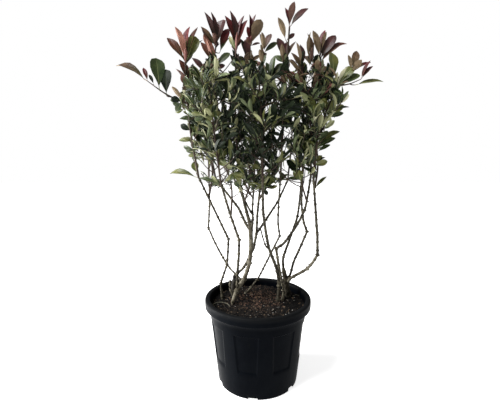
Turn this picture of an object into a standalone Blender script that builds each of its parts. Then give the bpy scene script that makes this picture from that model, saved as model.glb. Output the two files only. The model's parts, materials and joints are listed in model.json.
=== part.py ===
"""A potted multi-stem photinia: a black nursery pot, its compost, bare stems and a leafy crown.

The origin is on the ground under the middle of the pot. Z is up and -Y is the front.
Routes are written in millimetres and turned into metres where the shapes are made.
"""
import math
import random
from dataclasses import dataclass

import bmesh
import bpy
from mathutils import Vector
from mathutils.bvhtree import BVHTree

MM = 0.001
GAP = 0.3 * MM
UP = Vector((0.0, 0.0, 1.0))

# Pot: heights and radii
POT_HEIGHT = 244 * MM
POT_BASE_RADIUS = 114.5 * MM
POT_WAIST_HEIGHT = 150 * MM
POT_WAIST_RADIUS = 130.5 * MM
POT_NECK_HEIGHT = 219 * MM
POT_NECK_RADIUS = 139 * MM
POT_WALL = 5.5 * MM
POT_FLOOR = 14 * MM
POT_EDGE = 2 * MM

# Pot collar
COLLAR_RADIUS = 151 * MM
COLLAR_ROUND = 4 * MM
COLLAR_LIP = 11 * MM

# Recessed panels round the pot, with flush ribs between them
PANEL_COUNT = 8
PANEL_PITCH = math.radians(360 / PANEL_COUNT)
PANEL_FIRST = math.radians(-14.5)
PANEL_BOTTOM = 82 * MM
PANEL_TOP = 187 * MM
PANEL_STEP = 3 * MM
PANEL_DEPTH = 2.5 * MM
PANEL_HALF_TOP = math.radians(14.5)
PANEL_HALF_BOTTOM = math.radians(12.5)
PANEL_SIDE = math.radians(1.0)

# Notches in the pot's bottom edge
NOTCH_COUNT = 6
NOTCH_FIRST = math.radians(-7.5)
NOTCH_WIDTH = 28 * MM
NOTCH_HEIGHT = 10 * MM
NOTCH_DEPTH = 7 * MM

# Compost
SOIL_TOP = 222 * MM

# Shading of round pieces
SHARP_ANGLE = math.radians(35)

# Limbs
LIMB_STEPS = 2
THICK_SIDES = 8
THIN_SIDES = 5
THICK_RADIUS = 4 * MM
FLARE_HEIGHT = 9 * MM
ROUGHNESS = 0.06
ELBOW = 3.0
SHELL = 0.15 * MM
SEAT_TRIES = 8
SEAT_NUDGE = 0.1 * MM

# Twigs
TWIG_SIDES = 3
TWIG_STEPS = 2
LEADER_FOOT = 2.0 * MM
LEADER_TIP = 1.6 * MM
LEADER_BEND = 0.45
LEADER_EXTRA = 3
SHOOT_FOOT = 1.7 * MM
SHOOT_TIP = 1.5 * MM
SHOOT_SIZES = (0.85, 1.15)
GOLDEN_ANGLE = math.radians(137.5)
SHOOT_LOWEST = 0.06
SHOOT_HIGHEST = 0.82
SHOOT_RISE = 0.35
SHOOT_LIFT = 0.40
SHOOT_TRIES = (1.0, 0.8, 0.62, 0.45)

# Space that each mass keeps to
SITE_SHARES = (0.15, 0.35, 0.55, 0.75, 0.95)
CELL_MARGIN = 1.0 * MM
CLEARANCE = 0.8 * MM
NEIGHBOUR = 150 * MM

# Reach of the crown from its middle at each height, which only the arms go past
CROWN_REACH = ((480 * MM, 120 * MM), (600 * MM, 185 * MM), (720 * MM, 215 * MM), (800 * MM, 245 * MM),
               (860 * MM, 275 * MM), (1100 * MM, 275 * MM))

# Leaves
LEAF_LENGTH = 80 * MM
LEAF_WIDTH = 31 * MM
LEAF_THICKNESS = 1.8 * MM
LEAF_STALK = 1.0 * MM
LEAF_WIDEST = 0.58
LEAF_KEEL = 2.5 * MM
LEAF_CURL = 4 * MM
LEAF_ROOT = 0.1 * MM
LEAF_ANGLE_LOW = math.radians(62)
LEAF_ANGLE_HIGH = math.radians(20)
LEAF_ANGLE_POWER = 1.5
LEAF_SIZES = (0.88, 1.12)
LEAF_LIFT = 0.12
LEAF_SHRINK = 0.25
LEAF_SHRINK_POWER = 3
LEAF_FIRST = 0.22
LEAF_LAST = 0.985
LEAF_START = 0.6
LEAF_CROWDING = 0.75
ARM_LEAVES = 6
ARM_LIFT = 0.35
LEAF_TRIES = 16
LEAF_TURN = math.radians(100)
LEAF_RETRY_SIZE = 0.98
LEAF_RETRY_ANGLE = 0.95
LEAF_FACES = (
    (0, 2, 4), (0, 4, 3), (1, 5, 2), (1, 3, 5),
    (5, 4, 2), (5, 3, 4), (0, 1, 2), (0, 3, 1),
)


@dataclass(frozen=True)
class Limb:
    """A stem or bough: it stands on the compost, or grows from its parent's side or tip."""

    name: str
    foot: float
    tip: float
    route: tuple
    parent: str = ""
    at: float = 1.0
    flare: float = 0.0


@dataclass(frozen=True)
class Mass:
    """A mass of foliage: a leader from a limb to its top, with leafy shoots round it."""

    name: str
    limb: str
    at: float
    top: tuple
    spread: float
    shoots: int
    leaves: int
    tint: str
    seed: int
    arms: tuple = ()


# Stems and boughs: radii at foot and tip, then the route, all in millimetres
LIMBS = (
    Limb("outer_left_stem", 2.6, 2.3, ((-104, 32, 222), (-108, 30, 268), (-89, 12, 334), (-83, 2, 410)),
         flare=0.5),
    Limb("outer_left_top", 2.3, 1.9, ((-122, -20, 503), (-157, -46, 588)), "outer_left_stem"),
    Limb("left_trunk", 6.6, 4.4, ((-74, -12, 222), (-62, 2, 256), (-40, 8, 290), (-24, 5, 340),
                                  (-20, -3, 400), (-24, -10, 462)), flare=0.5),
    Limb("left_trunk_top", 4.2, 2.5, ((-34, -17, 500), (-50, -30, 572)), "left_trunk"),
    Limb("left_side_bough", 3.2, 2.0, ((-54, 8, 496), (-90, 28, 540), (-122, 44, 580)), "left_trunk", 0.93),
    Limb("pale_stem", 2.1, 1.9, ((-80, 34, 312), (-103, 50, 342), (-130, 62, 390), (-147, 68, 429)),
         "left_trunk", 0.27),
    Limb("pale_stem_top", 1.9, 1.7, ((-144, 80, 502), (-146, 94, 580)), "pale_stem"),
    Limb("dark_stem", 3.0, 2.7, ((-58, -10, 316), (-54, -16, 365), (-52, -30, 416)), "left_trunk", 0.20),
    Limb("dark_stem_top", 2.7, 2.0, ((-72, -60, 485), (-94, -108, 578)), "dark_stem"),
    Limb("old_stump", 11.0, 8.0, ((-72, 45, 222), (-71, 48, 252), (-66, 50, 290)), flare=0.25),
    Limb("stump_stem", 3.4, 2.3, ((-46, 55, 304), (-27, 57, 334), (-12, 50, 372), (-4, 46, 415),
                                  (-1, 50, 471), (9, 62, 570)), "old_stump"),
    Limb("stump_bough", 2.7, 2.0, ((34, 72, 466), (60, 98, 500), (96, 138, 566)), "stump_stem", 0.50),
    Limb("middle_stem", 2.6, 1.9, ((-17, 64, 417), (-14, 72, 452), (-15, 85, 482), (-9, 118, 572)),
         "stump_stem", 0.34),
    Limb("middle_bough", 2.2, 1.8, ((-40, 80, 514), (-70, 58, 578)), "middle_stem", 0.48),
    Limb("thin_stem", 2.1, 1.9, ((-38, 63, 222), (-19, 72, 240), (3, 60, 276), (26, 40, 331),
                                 (61, 0, 420)), flare=0.5),
    Limb("thin_stem_top", 1.9, 1.7, ((55, -12, 460), (55, -22, 505), (58, -34, 580)), "thin_stem"),
    Limb("front_right_stem", 4.2, 2.4, ((58, 6, 222), (62, 14, 268), (56, 9, 315), (30, -15, 390),
                                        (13, -50, 490), (9, -94, 582)), flare=0.45),
    Limb("bent_right_stem", 3.5, 3.2, ((72, 16, 222), (77, 24, 250), (68, 27, 290), (57, 18, 350),
                                       (52, 10, 381)), flare=0.4),
    Limb("bent_right_top", 3.2, 2.2, ((72, 0, 398), (106, -10, 451), (127, -17, 497), (140, -28, 590)),
         "bent_right_stem"),
    Limb("right_trunk", 11.0, 6.5, ((92, 46, 222), (88, 51, 251), (83, 55, 283), (78, 57, 304)), flare=0.3),
    Limb("right_tall_stem", 3.3, 2.1, ((77, 61, 334), (100, 78, 397), (123, 100, 457), (138, 126, 580)),
         "right_trunk"),
    Limb("right_bough", 3.0, 2.7, ((108, 56, 325), (126, 50, 372), (144, 40, 423)), "right_trunk", 0.66),
    Limb("right_bough_top", 2.7, 2.0, ((133, 34, 452), (125, 29, 505), (125, 23, 580)), "right_bough"),
    Limb("outer_right_stem", 3.6, 3.2, ((126, 14, 309), (141, 0, 325), (154, -15, 349), (163, -30, 374)),
         "right_trunk", 0.55),
    Limb("outer_right_top", 3.2, 2.2, ((159, -42, 425), (151, -57, 487), (138, -78, 592)),
         "outer_right_stem"),
    Limb("dead_stub", 2.3, 1.7, ((-79, 2, 262), (-80, 4, 290)), "left_trunk", 0.10),
    Limb("dead_twig", 1.4, 1.1, ((12, -26, 424), (5, -26, 452)), "front_right_stem", 0.46),
)

# Foliage: limb and place on it, top, spread, shoots, leaves on each, tint, seed and longer arms
MASSES = (
    Mass("plume_left", "outer_left_top", 1.0, (-160, -80, 905), 60, 8, 4, "bronze", 5,
         ((0.50, (-280, -120, 828)),)),
    Mass("plume_left_inner", "left_side_bough", 1.0, (-126, 52, 976), 66, 7, 4, "bronze", 7),
    Mass("plume_centre_left", "left_trunk_top", 1.0, (-72, -40, 955), 64, 8, 4, "crimson", 11),
    Mass("plume_back", "middle_stem", 1.0, (6, 120, 985), 68, 7, 4, "crimson", 13),
    Mass("plume_centre", "stump_stem", 1.0, (30, 66, 936), 62, 8, 4, "bronze", 17),
    Mass("plume_tall", "thin_stem_top", 1.0, (94, -30, 972), 60, 8, 4, "crimson", 19),
    Mass("plume_front_right", "bent_right_top", 1.0, (98, -104, 862), 62, 7, 4, "bronze", 23),
    Mass("plume_right", "right_bough_top", 1.0, (150, 4, 920), 62, 8, 4, "bronze", 29),
    Mass("plume_far_right", "outer_right_top", 1.0, (222, -50, 876), 60, 8, 4, "bronze", 31,
         ((0.50, (272, -62, 846)),)),
    Mass("plume_back_left", "pale_stem_top", 1.0, (-150, 160, 900), 72, 7, 4, "bronze", 37),
    Mass("plume_back_right", "stump_bough", 1.0, (84, 188, 910), 72, 7, 4, "crimson", 41),
    Mass("plume_right_back", "right_tall_stem", 1.0, (186, 126, 880), 70, 7, 4, "bronze", 43),
    Mass("plume_front_left", "dark_stem_top", 1.0, (-116, -168, 830), 66, 7, 4, "green", 47),
    Mass("plume_front", "front_right_stem", 1.0, (-4, -156, 836), 68, 7, 4, "green", 53),
    Mass("plume_inner", "middle_bough", 1.0, (-70, 46, 850), 56, 6, 4, "green", 59),
    Mass("skirt_left", "outer_left_top", 0.70, (-176, -16, 660), 42, 3, 4, "green", 61,
         ((0.34, (-196, -14, 592)),)),
    Mass("skirt_front_left", "dark_stem_top", 0.45, (-98, -110, 650), 48, 4, 4, "green", 67),
    Mass("skirt_front", "left_trunk_top", 0.55, (-30, -104, 650), 50, 4, 4, "green", 71),
    Mass("skirt_centre", "stump_stem", 0.82, (48, 16, 660), 50, 4, 4, "green", 89),
    Mass("skirt_front_right", "bent_right_top", 0.72, (92, -74, 650), 50, 4, 4, "green", 97),
    Mass("skirt_right", "outer_right_top", 0.86, (168, -78, 690), 36, 3, 4, "green", 103),
    Mass("skirt_back", "middle_stem", 0.72, (-34, 190, 680), 56, 3, 4, "green", 83),
)


def clear_scene():
    """Remove every object that the file starts with."""
    for thing in list(bpy.data.objects):
        bpy.data.objects.remove(thing, do_unlink=True)


def make_material(name, colour, roughness):
    """Return a Principled material of one colour."""
    material = bpy.data.materials.new(name)
    material.use_nodes = True
    shader = material.node_tree.nodes["Principled BSDF"]
    shader.inputs["Base Color"].default_value = (*colour, 1.0)
    shader.inputs["Roughness"].default_value = roughness
    material.diffuse_color = (*colour, 1.0)
    return material


def make_materials():
    """Return the plant's materials by name."""
    return {
        "plastic": make_material("black_plastic", (0.012, 0.013, 0.016), 0.42),
        "compost": make_material("compost", (0.050, 0.032, 0.022), 0.95),
        "bark": make_material("bark", (0.150, 0.125, 0.090), 0.80),
        "green": make_material("green_leaf", (0.055, 0.085, 0.030), 0.45),
        "bronze": make_material("bronze_leaf", (0.130, 0.060, 0.040), 0.45),
        "crimson": make_material("crimson_leaf", (0.160, 0.030, 0.040), 0.45),
    }


def add_mesh(name, points, faces, material, smooth=False):
    """Make one closed object from points and faces, turned to face outward."""
    mesh = bpy.data.meshes.new(name)
    mesh.from_pydata([tuple(point) for point in points], [], faces)
    shape = bmesh.new()
    shape.from_mesh(mesh)
    bmesh.ops.recalc_face_normals(shape, faces=shape.faces)
    shape.to_mesh(mesh)
    shape.free()
    if smooth:
        mesh.shade_smooth()
        mesh.set_sharp_from_angle(angle=SHARP_ANGLE)
    mesh.materials.append(material)
    thing = bpy.data.objects.new(name, mesh)
    bpy.context.scene.collection.objects.link(thing)
    return thing


def around(angle, radius, height):
    """Return the point at an angle from the front, turning towards +X."""
    return Vector((math.sin(angle) * radius, -math.cos(angle) * radius, height))


def wall_radius(height):
    """Return the pot's outer radius, on a rib, at a height below the collar."""
    if height < POT_WAIST_HEIGHT:
        share = height / POT_WAIST_HEIGHT
        return POT_BASE_RADIUS + (POT_WAIST_RADIUS - POT_BASE_RADIUS) * share
    share = (height - POT_WAIST_HEIGHT) / (POT_NECK_HEIGHT - POT_WAIST_HEIGHT)
    return POT_WAIST_RADIUS + (POT_NECK_RADIUS - POT_WAIST_RADIUS) * share


def inner_radius(height):
    """Return the radius of the pot's inside at a height."""
    return wall_radius(min(height, POT_NECK_HEIGHT)) - POT_WALL


def pot_profile():
    """Return the pot's profile from the underside, up the outside and down the inside.

    Each entry is a radius, a height and how far it takes part in the panels' recess.
    """
    top = POT_HEIGHT
    outside = [
        (POT_BASE_RADIUS - POT_EDGE, 0.0, 0.0),
        (wall_radius(POT_EDGE), POT_EDGE, 0.0),
        (wall_radius(PANEL_BOTTOM - PANEL_STEP), PANEL_BOTTOM - PANEL_STEP, 0.0),
        (wall_radius(PANEL_BOTTOM), PANEL_BOTTOM, 1.0),
        (wall_radius(POT_WAIST_HEIGHT), POT_WAIST_HEIGHT, 1.0),
        (wall_radius(PANEL_TOP - PANEL_STEP), PANEL_TOP - PANEL_STEP, 1.0),
        (wall_radius(PANEL_TOP), PANEL_TOP, 0.0),
        (POT_NECK_RADIUS, POT_NECK_HEIGHT, 0.0),
    ]
    collar = [
        (COLLAR_RADIUS - COLLAR_ROUND / 2, POT_NECK_HEIGHT, 0.0),
        (COLLAR_RADIUS, POT_NECK_HEIGHT + COLLAR_ROUND, 0.0),
        (COLLAR_RADIUS, top - COLLAR_ROUND, 0.0),
        (COLLAR_RADIUS - COLLAR_ROUND, top, 0.0),
        (COLLAR_RADIUS - COLLAR_LIP, top, 0.0),
        (COLLAR_RADIUS - COLLAR_LIP - COLLAR_ROUND, top - COLLAR_ROUND, 0.0),
    ]
    inside = [
        (inner_radius(POT_NECK_HEIGHT), POT_NECK_HEIGHT, 0.0),
        (inner_radius(POT_WAIST_HEIGHT), POT_WAIST_HEIGHT, 0.0),
        (inner_radius(POT_FLOOR), POT_FLOOR, 0.0),
    ]
    return outside + collar + inside


def panel_columns(height):
    """Return the angles round the pot at one height, and whether each lies in a panel."""
    share = min(max((height - PANEL_BOTTOM) / (PANEL_TOP - PANEL_BOTTOM), 0.0), 1.0)
    half = PANEL_HALF_BOTTOM + (PANEL_HALF_TOP - PANEL_HALF_BOTTOM) * share
    columns = []
    for index in range(PANEL_COUNT):
        middle = PANEL_FIRST + index * PANEL_PITCH
        columns += [
            (middle - half, 0.0),
            (middle - half + PANEL_SIDE, 1.0),
            (middle, 1.0),
            (middle + half - PANEL_SIDE, 1.0),
            (middle + half, 0.0),
        ]
    return columns


def turned_faces(rows, columns):
    """Return the faces of a turned shape: a middle point below, rows of columns, a middle point above."""
    faces = []
    for row in range(rows - 1):
        for column in range(columns):
            beside = (column + 1) % columns
            low = 1 + row * columns
            high = low + columns
            faces.append((low + column, low + beside, high + beside, high + column))
    last = 1 + rows * columns
    top = last - columns
    for column in range(columns):
        beside = (column + 1) % columns
        faces.append((0, 1 + beside, 1 + column))
        faces.append((last, top + column, top + beside))
    return faces


def add_pot(material):
    """Make the pot: a turned wall with recessed panels, a rolled collar and a notched foot."""
    points = [Vector((0.0, 0.0, 0.0))]
    profile = pot_profile()
    for radius, height, in_panel in profile:
        for angle, recessed in panel_columns(height):
            points.append(around(angle, radius - PANEL_DEPTH * in_panel * recessed, height))
    points.append(Vector((0.0, 0.0, POT_FLOOR)))
    faces = turned_faces(len(profile), len(panel_columns(0.0)))
    pot = add_mesh("pot", points, faces, material, smooth=True)
    for index in range(NOTCH_COUNT):
        cut_notch(pot, NOTCH_FIRST + index * math.tau / NOTCH_COUNT)
    return pot


def cut_notch(pot, angle):
    """Cut one notch into the bottom edge of the pot."""
    mesh = bpy.data.meshes.new("notch")
    shape = bmesh.new()
    bmesh.ops.create_cube(shape, size=1.0)
    bmesh.ops.scale(shape, vec=(NOTCH_WIDTH, 2 * NOTCH_DEPTH, 2 * NOTCH_HEIGHT), verts=shape.verts)
    shape.to_mesh(mesh)
    shape.free()
    cutter = bpy.data.objects.new("notch", mesh)
    cutter.location = around(angle, POT_BASE_RADIUS, 0.0)
    cutter.rotation_euler = (0.0, 0.0, angle)
    cutter.hide_render = True
    cutter.display_type = "WIRE"
    bpy.context.scene.collection.objects.link(cutter)
    modifier = pot.modifiers.new("notch", "BOOLEAN")
    modifier.operation = "DIFFERENCE"
    modifier.solver = "EXACT"
    modifier.object = cutter


def add_soil(material):
    """Make the compost: a plug with the same flats as the pot's inside, up to a level top."""
    levels = (POT_FLOOR + GAP, POT_WAIST_HEIGHT, SOIL_TOP)
    points = [Vector((0.0, 0.0, levels[0]))]
    for height in levels:
        for angle, _ in panel_columns(height):
            points.append(around(angle, inner_radius(height) - GAP, height))
    points.append(Vector((0.0, 0.0, SOIL_TOP)))
    faces = turned_faces(len(levels), len(panel_columns(0.0)))
    return add_mesh("compost", points, faces, material, smooth=True)


def smooth_path(knots, steps):
    """Return points on a smooth curve through the knots, which never swings out past them."""
    spans = [finish - start for start, finish in zip(knots, knots[1:])]
    tangents = [spans[0].normalized()]
    for before, after in zip(spans, spans[1:]):
        tangents.append((before.normalized() + after.normalized()).normalized())
    tangents.append(spans[-1].normalized())
    path = []
    for index, span in enumerate(spans):
        start = knots[index]
        leave = tangents[index] * span.length
        arrive = tangents[index + 1] * span.length
        for step in range(steps):
            t = step / steps
            path.append(start + span * (3 * t ** 2 - 2 * t ** 3) + leave * (t - 2 * t ** 2 + t ** 3)
                        + arrive * (t ** 3 - t ** 2))
    return path + [knots[-1].copy()]


def path_lengths(path):
    """Return the distance along the path to each of its points."""
    lengths = [0.0]
    for start, finish in zip(path, path[1:]):
        lengths.append(lengths[-1] + (finish - start).length)
    return lengths


def place_on(path, share):
    """Return the point at a share of the path's length, and the direction there."""
    lengths = path_lengths(path)
    wanted = share * lengths[-1]
    for index in range(len(path) - 1):
        if wanted <= lengths[index + 1] or index == len(path) - 2:
            span = lengths[index + 1] - lengths[index]
            direction = (path[index + 1] - path[index]).normalized()
            return path[index] + direction * (wanted - lengths[index]), direction
    return path[-1].copy(), (path[-1] - path[-2]).normalized()


def tube_shape(path, radii, sides, first, last):
    """Return the points and faces of a closed tube, its end faces square to the directions given."""
    points = []
    normal = first.orthogonal().normalized()
    for index, centre in enumerate(path):
        if index == 0:
            direction = first
        elif index == len(path) - 1:
            direction = last
        else:
            direction = (path[index + 1] - path[index - 1]).normalized()
        normal = (normal - direction * normal.dot(direction)).normalized()
        side = direction.cross(normal)
        for corner in range(sides):
            turn = corner * math.tau / sides
            points.append(centre + (normal * math.cos(turn) + side * math.sin(turn)) * radii[index])
    faces = [tuple(range(sides)), tuple(range(len(points) - sides, len(points)))]
    for row in range(len(path) - 1):
        for corner in range(sides):
            beside = (corner + 1) % sides
            low = row * sides
            high = low + sides
            faces.append((low + corner, low + beside, high + beside, high + corner))
    return points, faces


@dataclass
class Grown:
    """A limb as it was built: its axis, its radii, its object and a shell a little outside it."""

    path: list
    radii: list
    thing: object
    shell: object

    def radius_at(self, share):
        """Return the radius at a share of the length."""
        lengths = path_lengths(self.path)
        wanted = share * lengths[-1]
        for index in range(len(lengths) - 1):
            if wanted <= lengths[index + 1]:
                part = (wanted - lengths[index]) / (lengths[index + 1] - lengths[index])
                return self.radii[index] + (self.radii[index + 1] - self.radii[index]) * part
        return self.radii[-1]


def seat_on(parent, share, aim, radius, gap):
    """Return the first points of a limb or leader that grows from another, and its first direction.

    At the tip it goes on along the same line. On the side it stands square to the parent's
    surface and turns up through a short elbow.
    """
    place, along = place_on(parent.path, share)
    if share >= 1.0:
        return [place + along * gap], along
    outward = (aim - place) - along * (aim - place).dot(along)
    outward.normalize()
    start = place + outward * (parent.radius_at(share) + gap)
    elbow = start + (outward + along).normalized() * radius * ELBOW
    return [start, elbow], outward


def limb_radii(limb, path, rng):
    """Return a limb's radii: an even taper with a flare at the foot and slight roughness."""
    lengths = path_lengths(path)
    radii = []
    for index, length in enumerate(lengths):
        radius = (limb.foot + (limb.tip - limb.foot) * length / lengths[-1]) * MM
        radius *= 1 + limb.flare * math.exp(-length / FLARE_HEIGHT)
        if 1 < index < len(path) - 2:
            radius *= 1 + rng.uniform(-ROUGHNESS, ROUGHNESS)
        radii.append(radius)
    return radii


def limb_path(limb, grown, gap):
    """Return a limb's axis, from its seat or foot through its route, and its first direction."""
    knots = [Vector(point) * MM for point in limb.route]
    if not limb.parent:
        knots[0] = knots[0] + UP * gap
        return smooth_path(knots, LIMB_STEPS), UP
    start, first = seat_on(grown[limb.parent], limb.at, knots[0], limb.foot * MM, gap)
    return smooth_path(start + knots, LIMB_STEPS), first


def add_limb(limb, grown, material):
    """Build one limb from its named sizes, clear of its parent, and keep its axis."""
    rng = random.Random(limb.name)
    sides = THICK_SIDES if limb.foot * MM > THICK_RADIUS else THIN_SIDES
    for nudge in range(SEAT_TRIES):
        path, first = limb_path(limb, grown, GAP + nudge * SEAT_NUDGE)
        radii = limb_radii(limb, path, rng)
        last = (path[-1] - path[-2]).normalized()
        points, faces = tube_shape(path, radii, sides, first, last)
        if not limb.parent or not surface_of(points, faces).overlap(grown[limb.parent].shell):
            break
    swollen = [radius + SHELL for radius in radii]
    ends = [path[0] - first * SHELL] + path[1:-1] + [path[-1] + last * SHELL]
    shell = surface_of(*tube_shape(ends, swollen, sides, first, last))
    thing = add_mesh(limb.name, points, faces, material, smooth=True)
    grown[limb.name] = Grown(path, radii, thing, shell)


def taper(path, foot, tip):
    """Return radii that shrink evenly along a path."""
    lengths = path_lengths(path)
    return [foot + (tip - foot) * length / lengths[-1] for length in lengths]


def surface_of(points, faces):
    """Return a search tree of a surface."""
    return BVHTree.FromPolygons([tuple(point) for point in points], faces)


def crown_reach(height):
    """Return how far the crown reaches from its axis at a height."""
    for (low, inner), (high, outer) in zip(CROWN_REACH, CROWN_REACH[1:]):
        if height <= high:
            share = max((height - low) / (high - low), 0.0)
            return inner + (outer - inner) * share
    return CROWN_REACH[-1][1]


def leaf_corners(root, direction, face_up, length, width, swell=0.0):
    """Return a leaf's six corners: upper and lower root, two sides, tip and belly.

    The leaf is a shallow trough along its midrib, with its sides raised. A swell grows it all
    round, for testing what it would come near to.
    """
    side = direction.cross(face_up).normalized()
    face_up = side.cross(direction).normalized()
    upper = root + face_up * (LEAF_STALK / 2 + swell)
    lower = root - face_up * (LEAF_STALK / 2 + swell)
    tip = root + direction * (length + 2 * swell) - face_up * LEAF_CURL
    rib = root + (tip - root) * LEAF_WIDEST
    reach = side * (width / 2 + 2 * swell)
    raised = rib + face_up * (LEAF_KEEL + swell / 2)
    belly = rib - face_up * (LEAF_THICKNESS + swell)
    return [upper, lower, raised + reach, raised - reach, tip, belly]


class Foliage:
    """Grows the masses of foliage, each in its own space round its leader."""

    def __init__(self, grown, materials):
        self.grown = grown
        self.materials = materials
        self.leaders = {}
        self.sites = {}
        self.placed = []

    def plan_leader(self, mass):
        """Work out the leader's path from its seat to the top of the mass, and its space."""
        parent = self.grown[mass.limb]
        top = Vector(mass.top) * MM
        for nudge in range(SEAT_TRIES):
            gap = GAP + nudge * SEAT_NUDGE
            start, first = seat_on(parent, mass.at, top, LEADER_FOOT, gap)
            reach = (top - start[-1]).length
            bend = start[-1] + (first + UP).normalized() * reach * LEADER_BEND
            middle = (start[-1] + top) / 4 + bend / 2
            path = smooth_path(start + [middle, top], TWIG_STEPS)
            last = (path[-1] - path[-2]).normalized()
            shape = tube_shape(path, taper(path, LEADER_FOOT, LEADER_TIP), TWIG_SIDES, first, last)
            surface = surface_of(*shape)
            if not any(surface.overlap(limb.shell) for limb in self.grown.values()):
                break
        thing = add_mesh(mass.name, *shape, self.materials[mass.tint])
        self.leaders[mass.name] = (path, thing, surface)
        self.sites[mass.name] = [place_on(path, share)[0] for share in SITE_SHARES]

    def inside(self, mass, points, on_arm=False):
        """Tell whether every point is in the crown and nearer to this mass's leader than to any other."""
        for point in points:
            if not on_arm and math.hypot(point.x, point.y) > crown_reach(point.z):
                return False
            own = min((point - site).length for site in self.sites[mass.name])
            for name, sites in self.sites.items():
                if name != mass.name and any((point - site).length < own + CELL_MARGIN for site in sites):
                    return False
        return True

    def touches(self, mass, points, faces, own_twig=None):
        """Tell whether a shape meets a limb, another leader or anything that has grown so far."""
        surface = surface_of(points, faces)
        if any(surface.overlap(limb.shell) for limb in self.grown.values()):
            return True
        for name, (_, _, leader) in self.leaders.items():
            if name != mass.name and surface.overlap(leader):
                return True
        middle = sum(points, Vector()) / len(points)
        for centre, other, twig in self.placed:
            if twig is own_twig and twig is not None:
                continue
            if (centre - middle).length < NEIGHBOUR and surface.overlap(other):
                return True
        return False

    def keep(self, points, faces, twig=None):
        """Remember a shape, so that what grows later stays clear of it."""
        self.placed.append((sum(points, Vector()) / len(points), surface_of(points, faces), twig))

    def grow(self, mass):
        """Build one mass: its leader, shoots in a golden-angle spiral, and their leaves."""
        rng = random.Random(mass.seed)
        path, leader, _ = self.leaders[mass.name]
        pieces = [leader]
        twigs = [path]
        for share, tip in mass.arms:
            shoot = self.add_shoot(mass, place_on(path, share)[0], Vector(tip) * MM, True)
            if shoot:
                pieces.append(shoot[1])
                pieces += self.grow_leaves(mass, shoot[0], ARM_LEAVES, rng, True)
        phase = rng.uniform(0.0, math.tau)
        for index in range(mass.shoots):
            share = SHOOT_LOWEST + (SHOOT_HIGHEST - SHOOT_LOWEST) * index / max(mass.shoots - 1, 1)
            shoot = self.grow_shoot(mass, path, share, phase + index * GOLDEN_ANGLE, rng)
            if shoot:
                twigs.append(shoot[0])
                pieces.append(shoot[1])
        for number, twig in enumerate(twigs):
            count = mass.leaves + LEADER_EXTRA if number == 0 else mass.leaves
            pieces += self.grow_leaves(mass, twig, count, rng)
        return fuse(mass.name, pieces)

    def grow_shoot(self, mass, leader, share, turn, rng):
        """Return a shoot's path and object, or nothing where it would leave its space."""
        foot, along = place_on(leader, share)
        across = along.orthogonal().normalized()
        outward = across * math.cos(turn) + along.cross(across) * math.sin(turn)
        spread = mass.spread * MM * rng.uniform(*SHOOT_SIZES)
        for shrink in SHOOT_TRIES:
            tip = foot + (outward + along * SHOOT_RISE + UP * SHOOT_LIFT) * spread * shrink
            shoot = self.add_shoot(mass, foot, tip)
            if shoot:
                return shoot
        return None

    def add_shoot(self, mass, foot, tip, on_arm=False):
        """Return a straight shoot's path and object, or nothing where there is no room for it."""
        direction = (tip - foot).normalized()
        path = [foot, tip]
        shape = tube_shape(path, [SHOOT_FOOT, SHOOT_TIP], TWIG_SIDES, direction, direction)
        if not self.inside(mass, [tip], on_arm) or self.touches(mass, *shape):
            return None
        self.keep(*shape, foot)
        return path, add_mesh(mass.name + "_shoot", *shape, self.materials[mass.tint])

    def grow_leaves(self, mass, twig, count, rng, on_arm=False):
        """Return the leaves of one twig, in a golden-angle spiral up to its tip."""
        leaves = []
        phase = rng.uniform(0.0, math.tau)
        lift = ARM_LIFT if on_arm else LEAF_LIFT
        for index in range(count):
            share = LEAF_FIRST + (1 - LEAF_FIRST) * ((index + LEAF_START) / count) ** LEAF_CROWDING
            place, along = place_on(twig, min(share, LEAF_LAST))
            across = along.orthogonal().normalized()
            angle = LEAF_ANGLE_LOW + (LEAF_ANGLE_HIGH - LEAF_ANGLE_LOW) * share ** LEAF_ANGLE_POWER
            size = rng.uniform(*LEAF_SIZES) * (1.0 - LEAF_SHRINK * share ** LEAF_SHRINK_POWER)
            for attempt in range(LEAF_TRIES):
                turn = phase + index * GOLDEN_ANGLE + attempt * LEAF_TURN
                outward = across * math.cos(turn) + along.cross(across) * math.sin(turn)
                direction = along * math.cos(angle) + outward * math.sin(angle) + UP * lift
                direction.normalize()
                root = place - direction * LEAF_ROOT
                sizes = (LEAF_LENGTH * size + LEAF_ROOT, LEAF_WIDTH * size)
                clear = leaf_corners(root, direction, along, *sizes, swell=CLEARANCE)
                fits = self.inside(mass, clear[2:], on_arm)
                if fits and not self.touches(mass, clear, LEAF_FACES, twig[0]):
                    self.keep(clear, LEAF_FACES)
                    corners = leaf_corners(root, direction, along, *sizes)
                    leaves.append(add_mesh(mass.name + "_leaf", corners, LEAF_FACES,
                                           self.materials[mass.tint]))
                    break
                size *= LEAF_RETRY_SIZE
                angle *= LEAF_RETRY_ANGLE
        return leaves


def union(pieces, solver):
    """Return the mesh of one Boolean union of all the pieces, on a collection, and if it is sound."""
    group = bpy.data.collections.new("pieces")
    for piece in pieces[1:]:
        group.objects.link(piece)
    modifier = pieces[0].modifiers.new("join", "BOOLEAN")
    modifier.operation = "UNION"
    modifier.operand_type = "COLLECTION"
    modifier.collection = group
    modifier.solver = solver
    graph = bpy.context.evaluated_depsgraph_get()
    joined = bpy.data.meshes.new_from_object(pieces[0].evaluated_get(graph))
    pieces[0].modifiers.remove(modifier)
    bpy.data.collections.remove(group)
    return joined, keep_body(joined)


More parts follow.
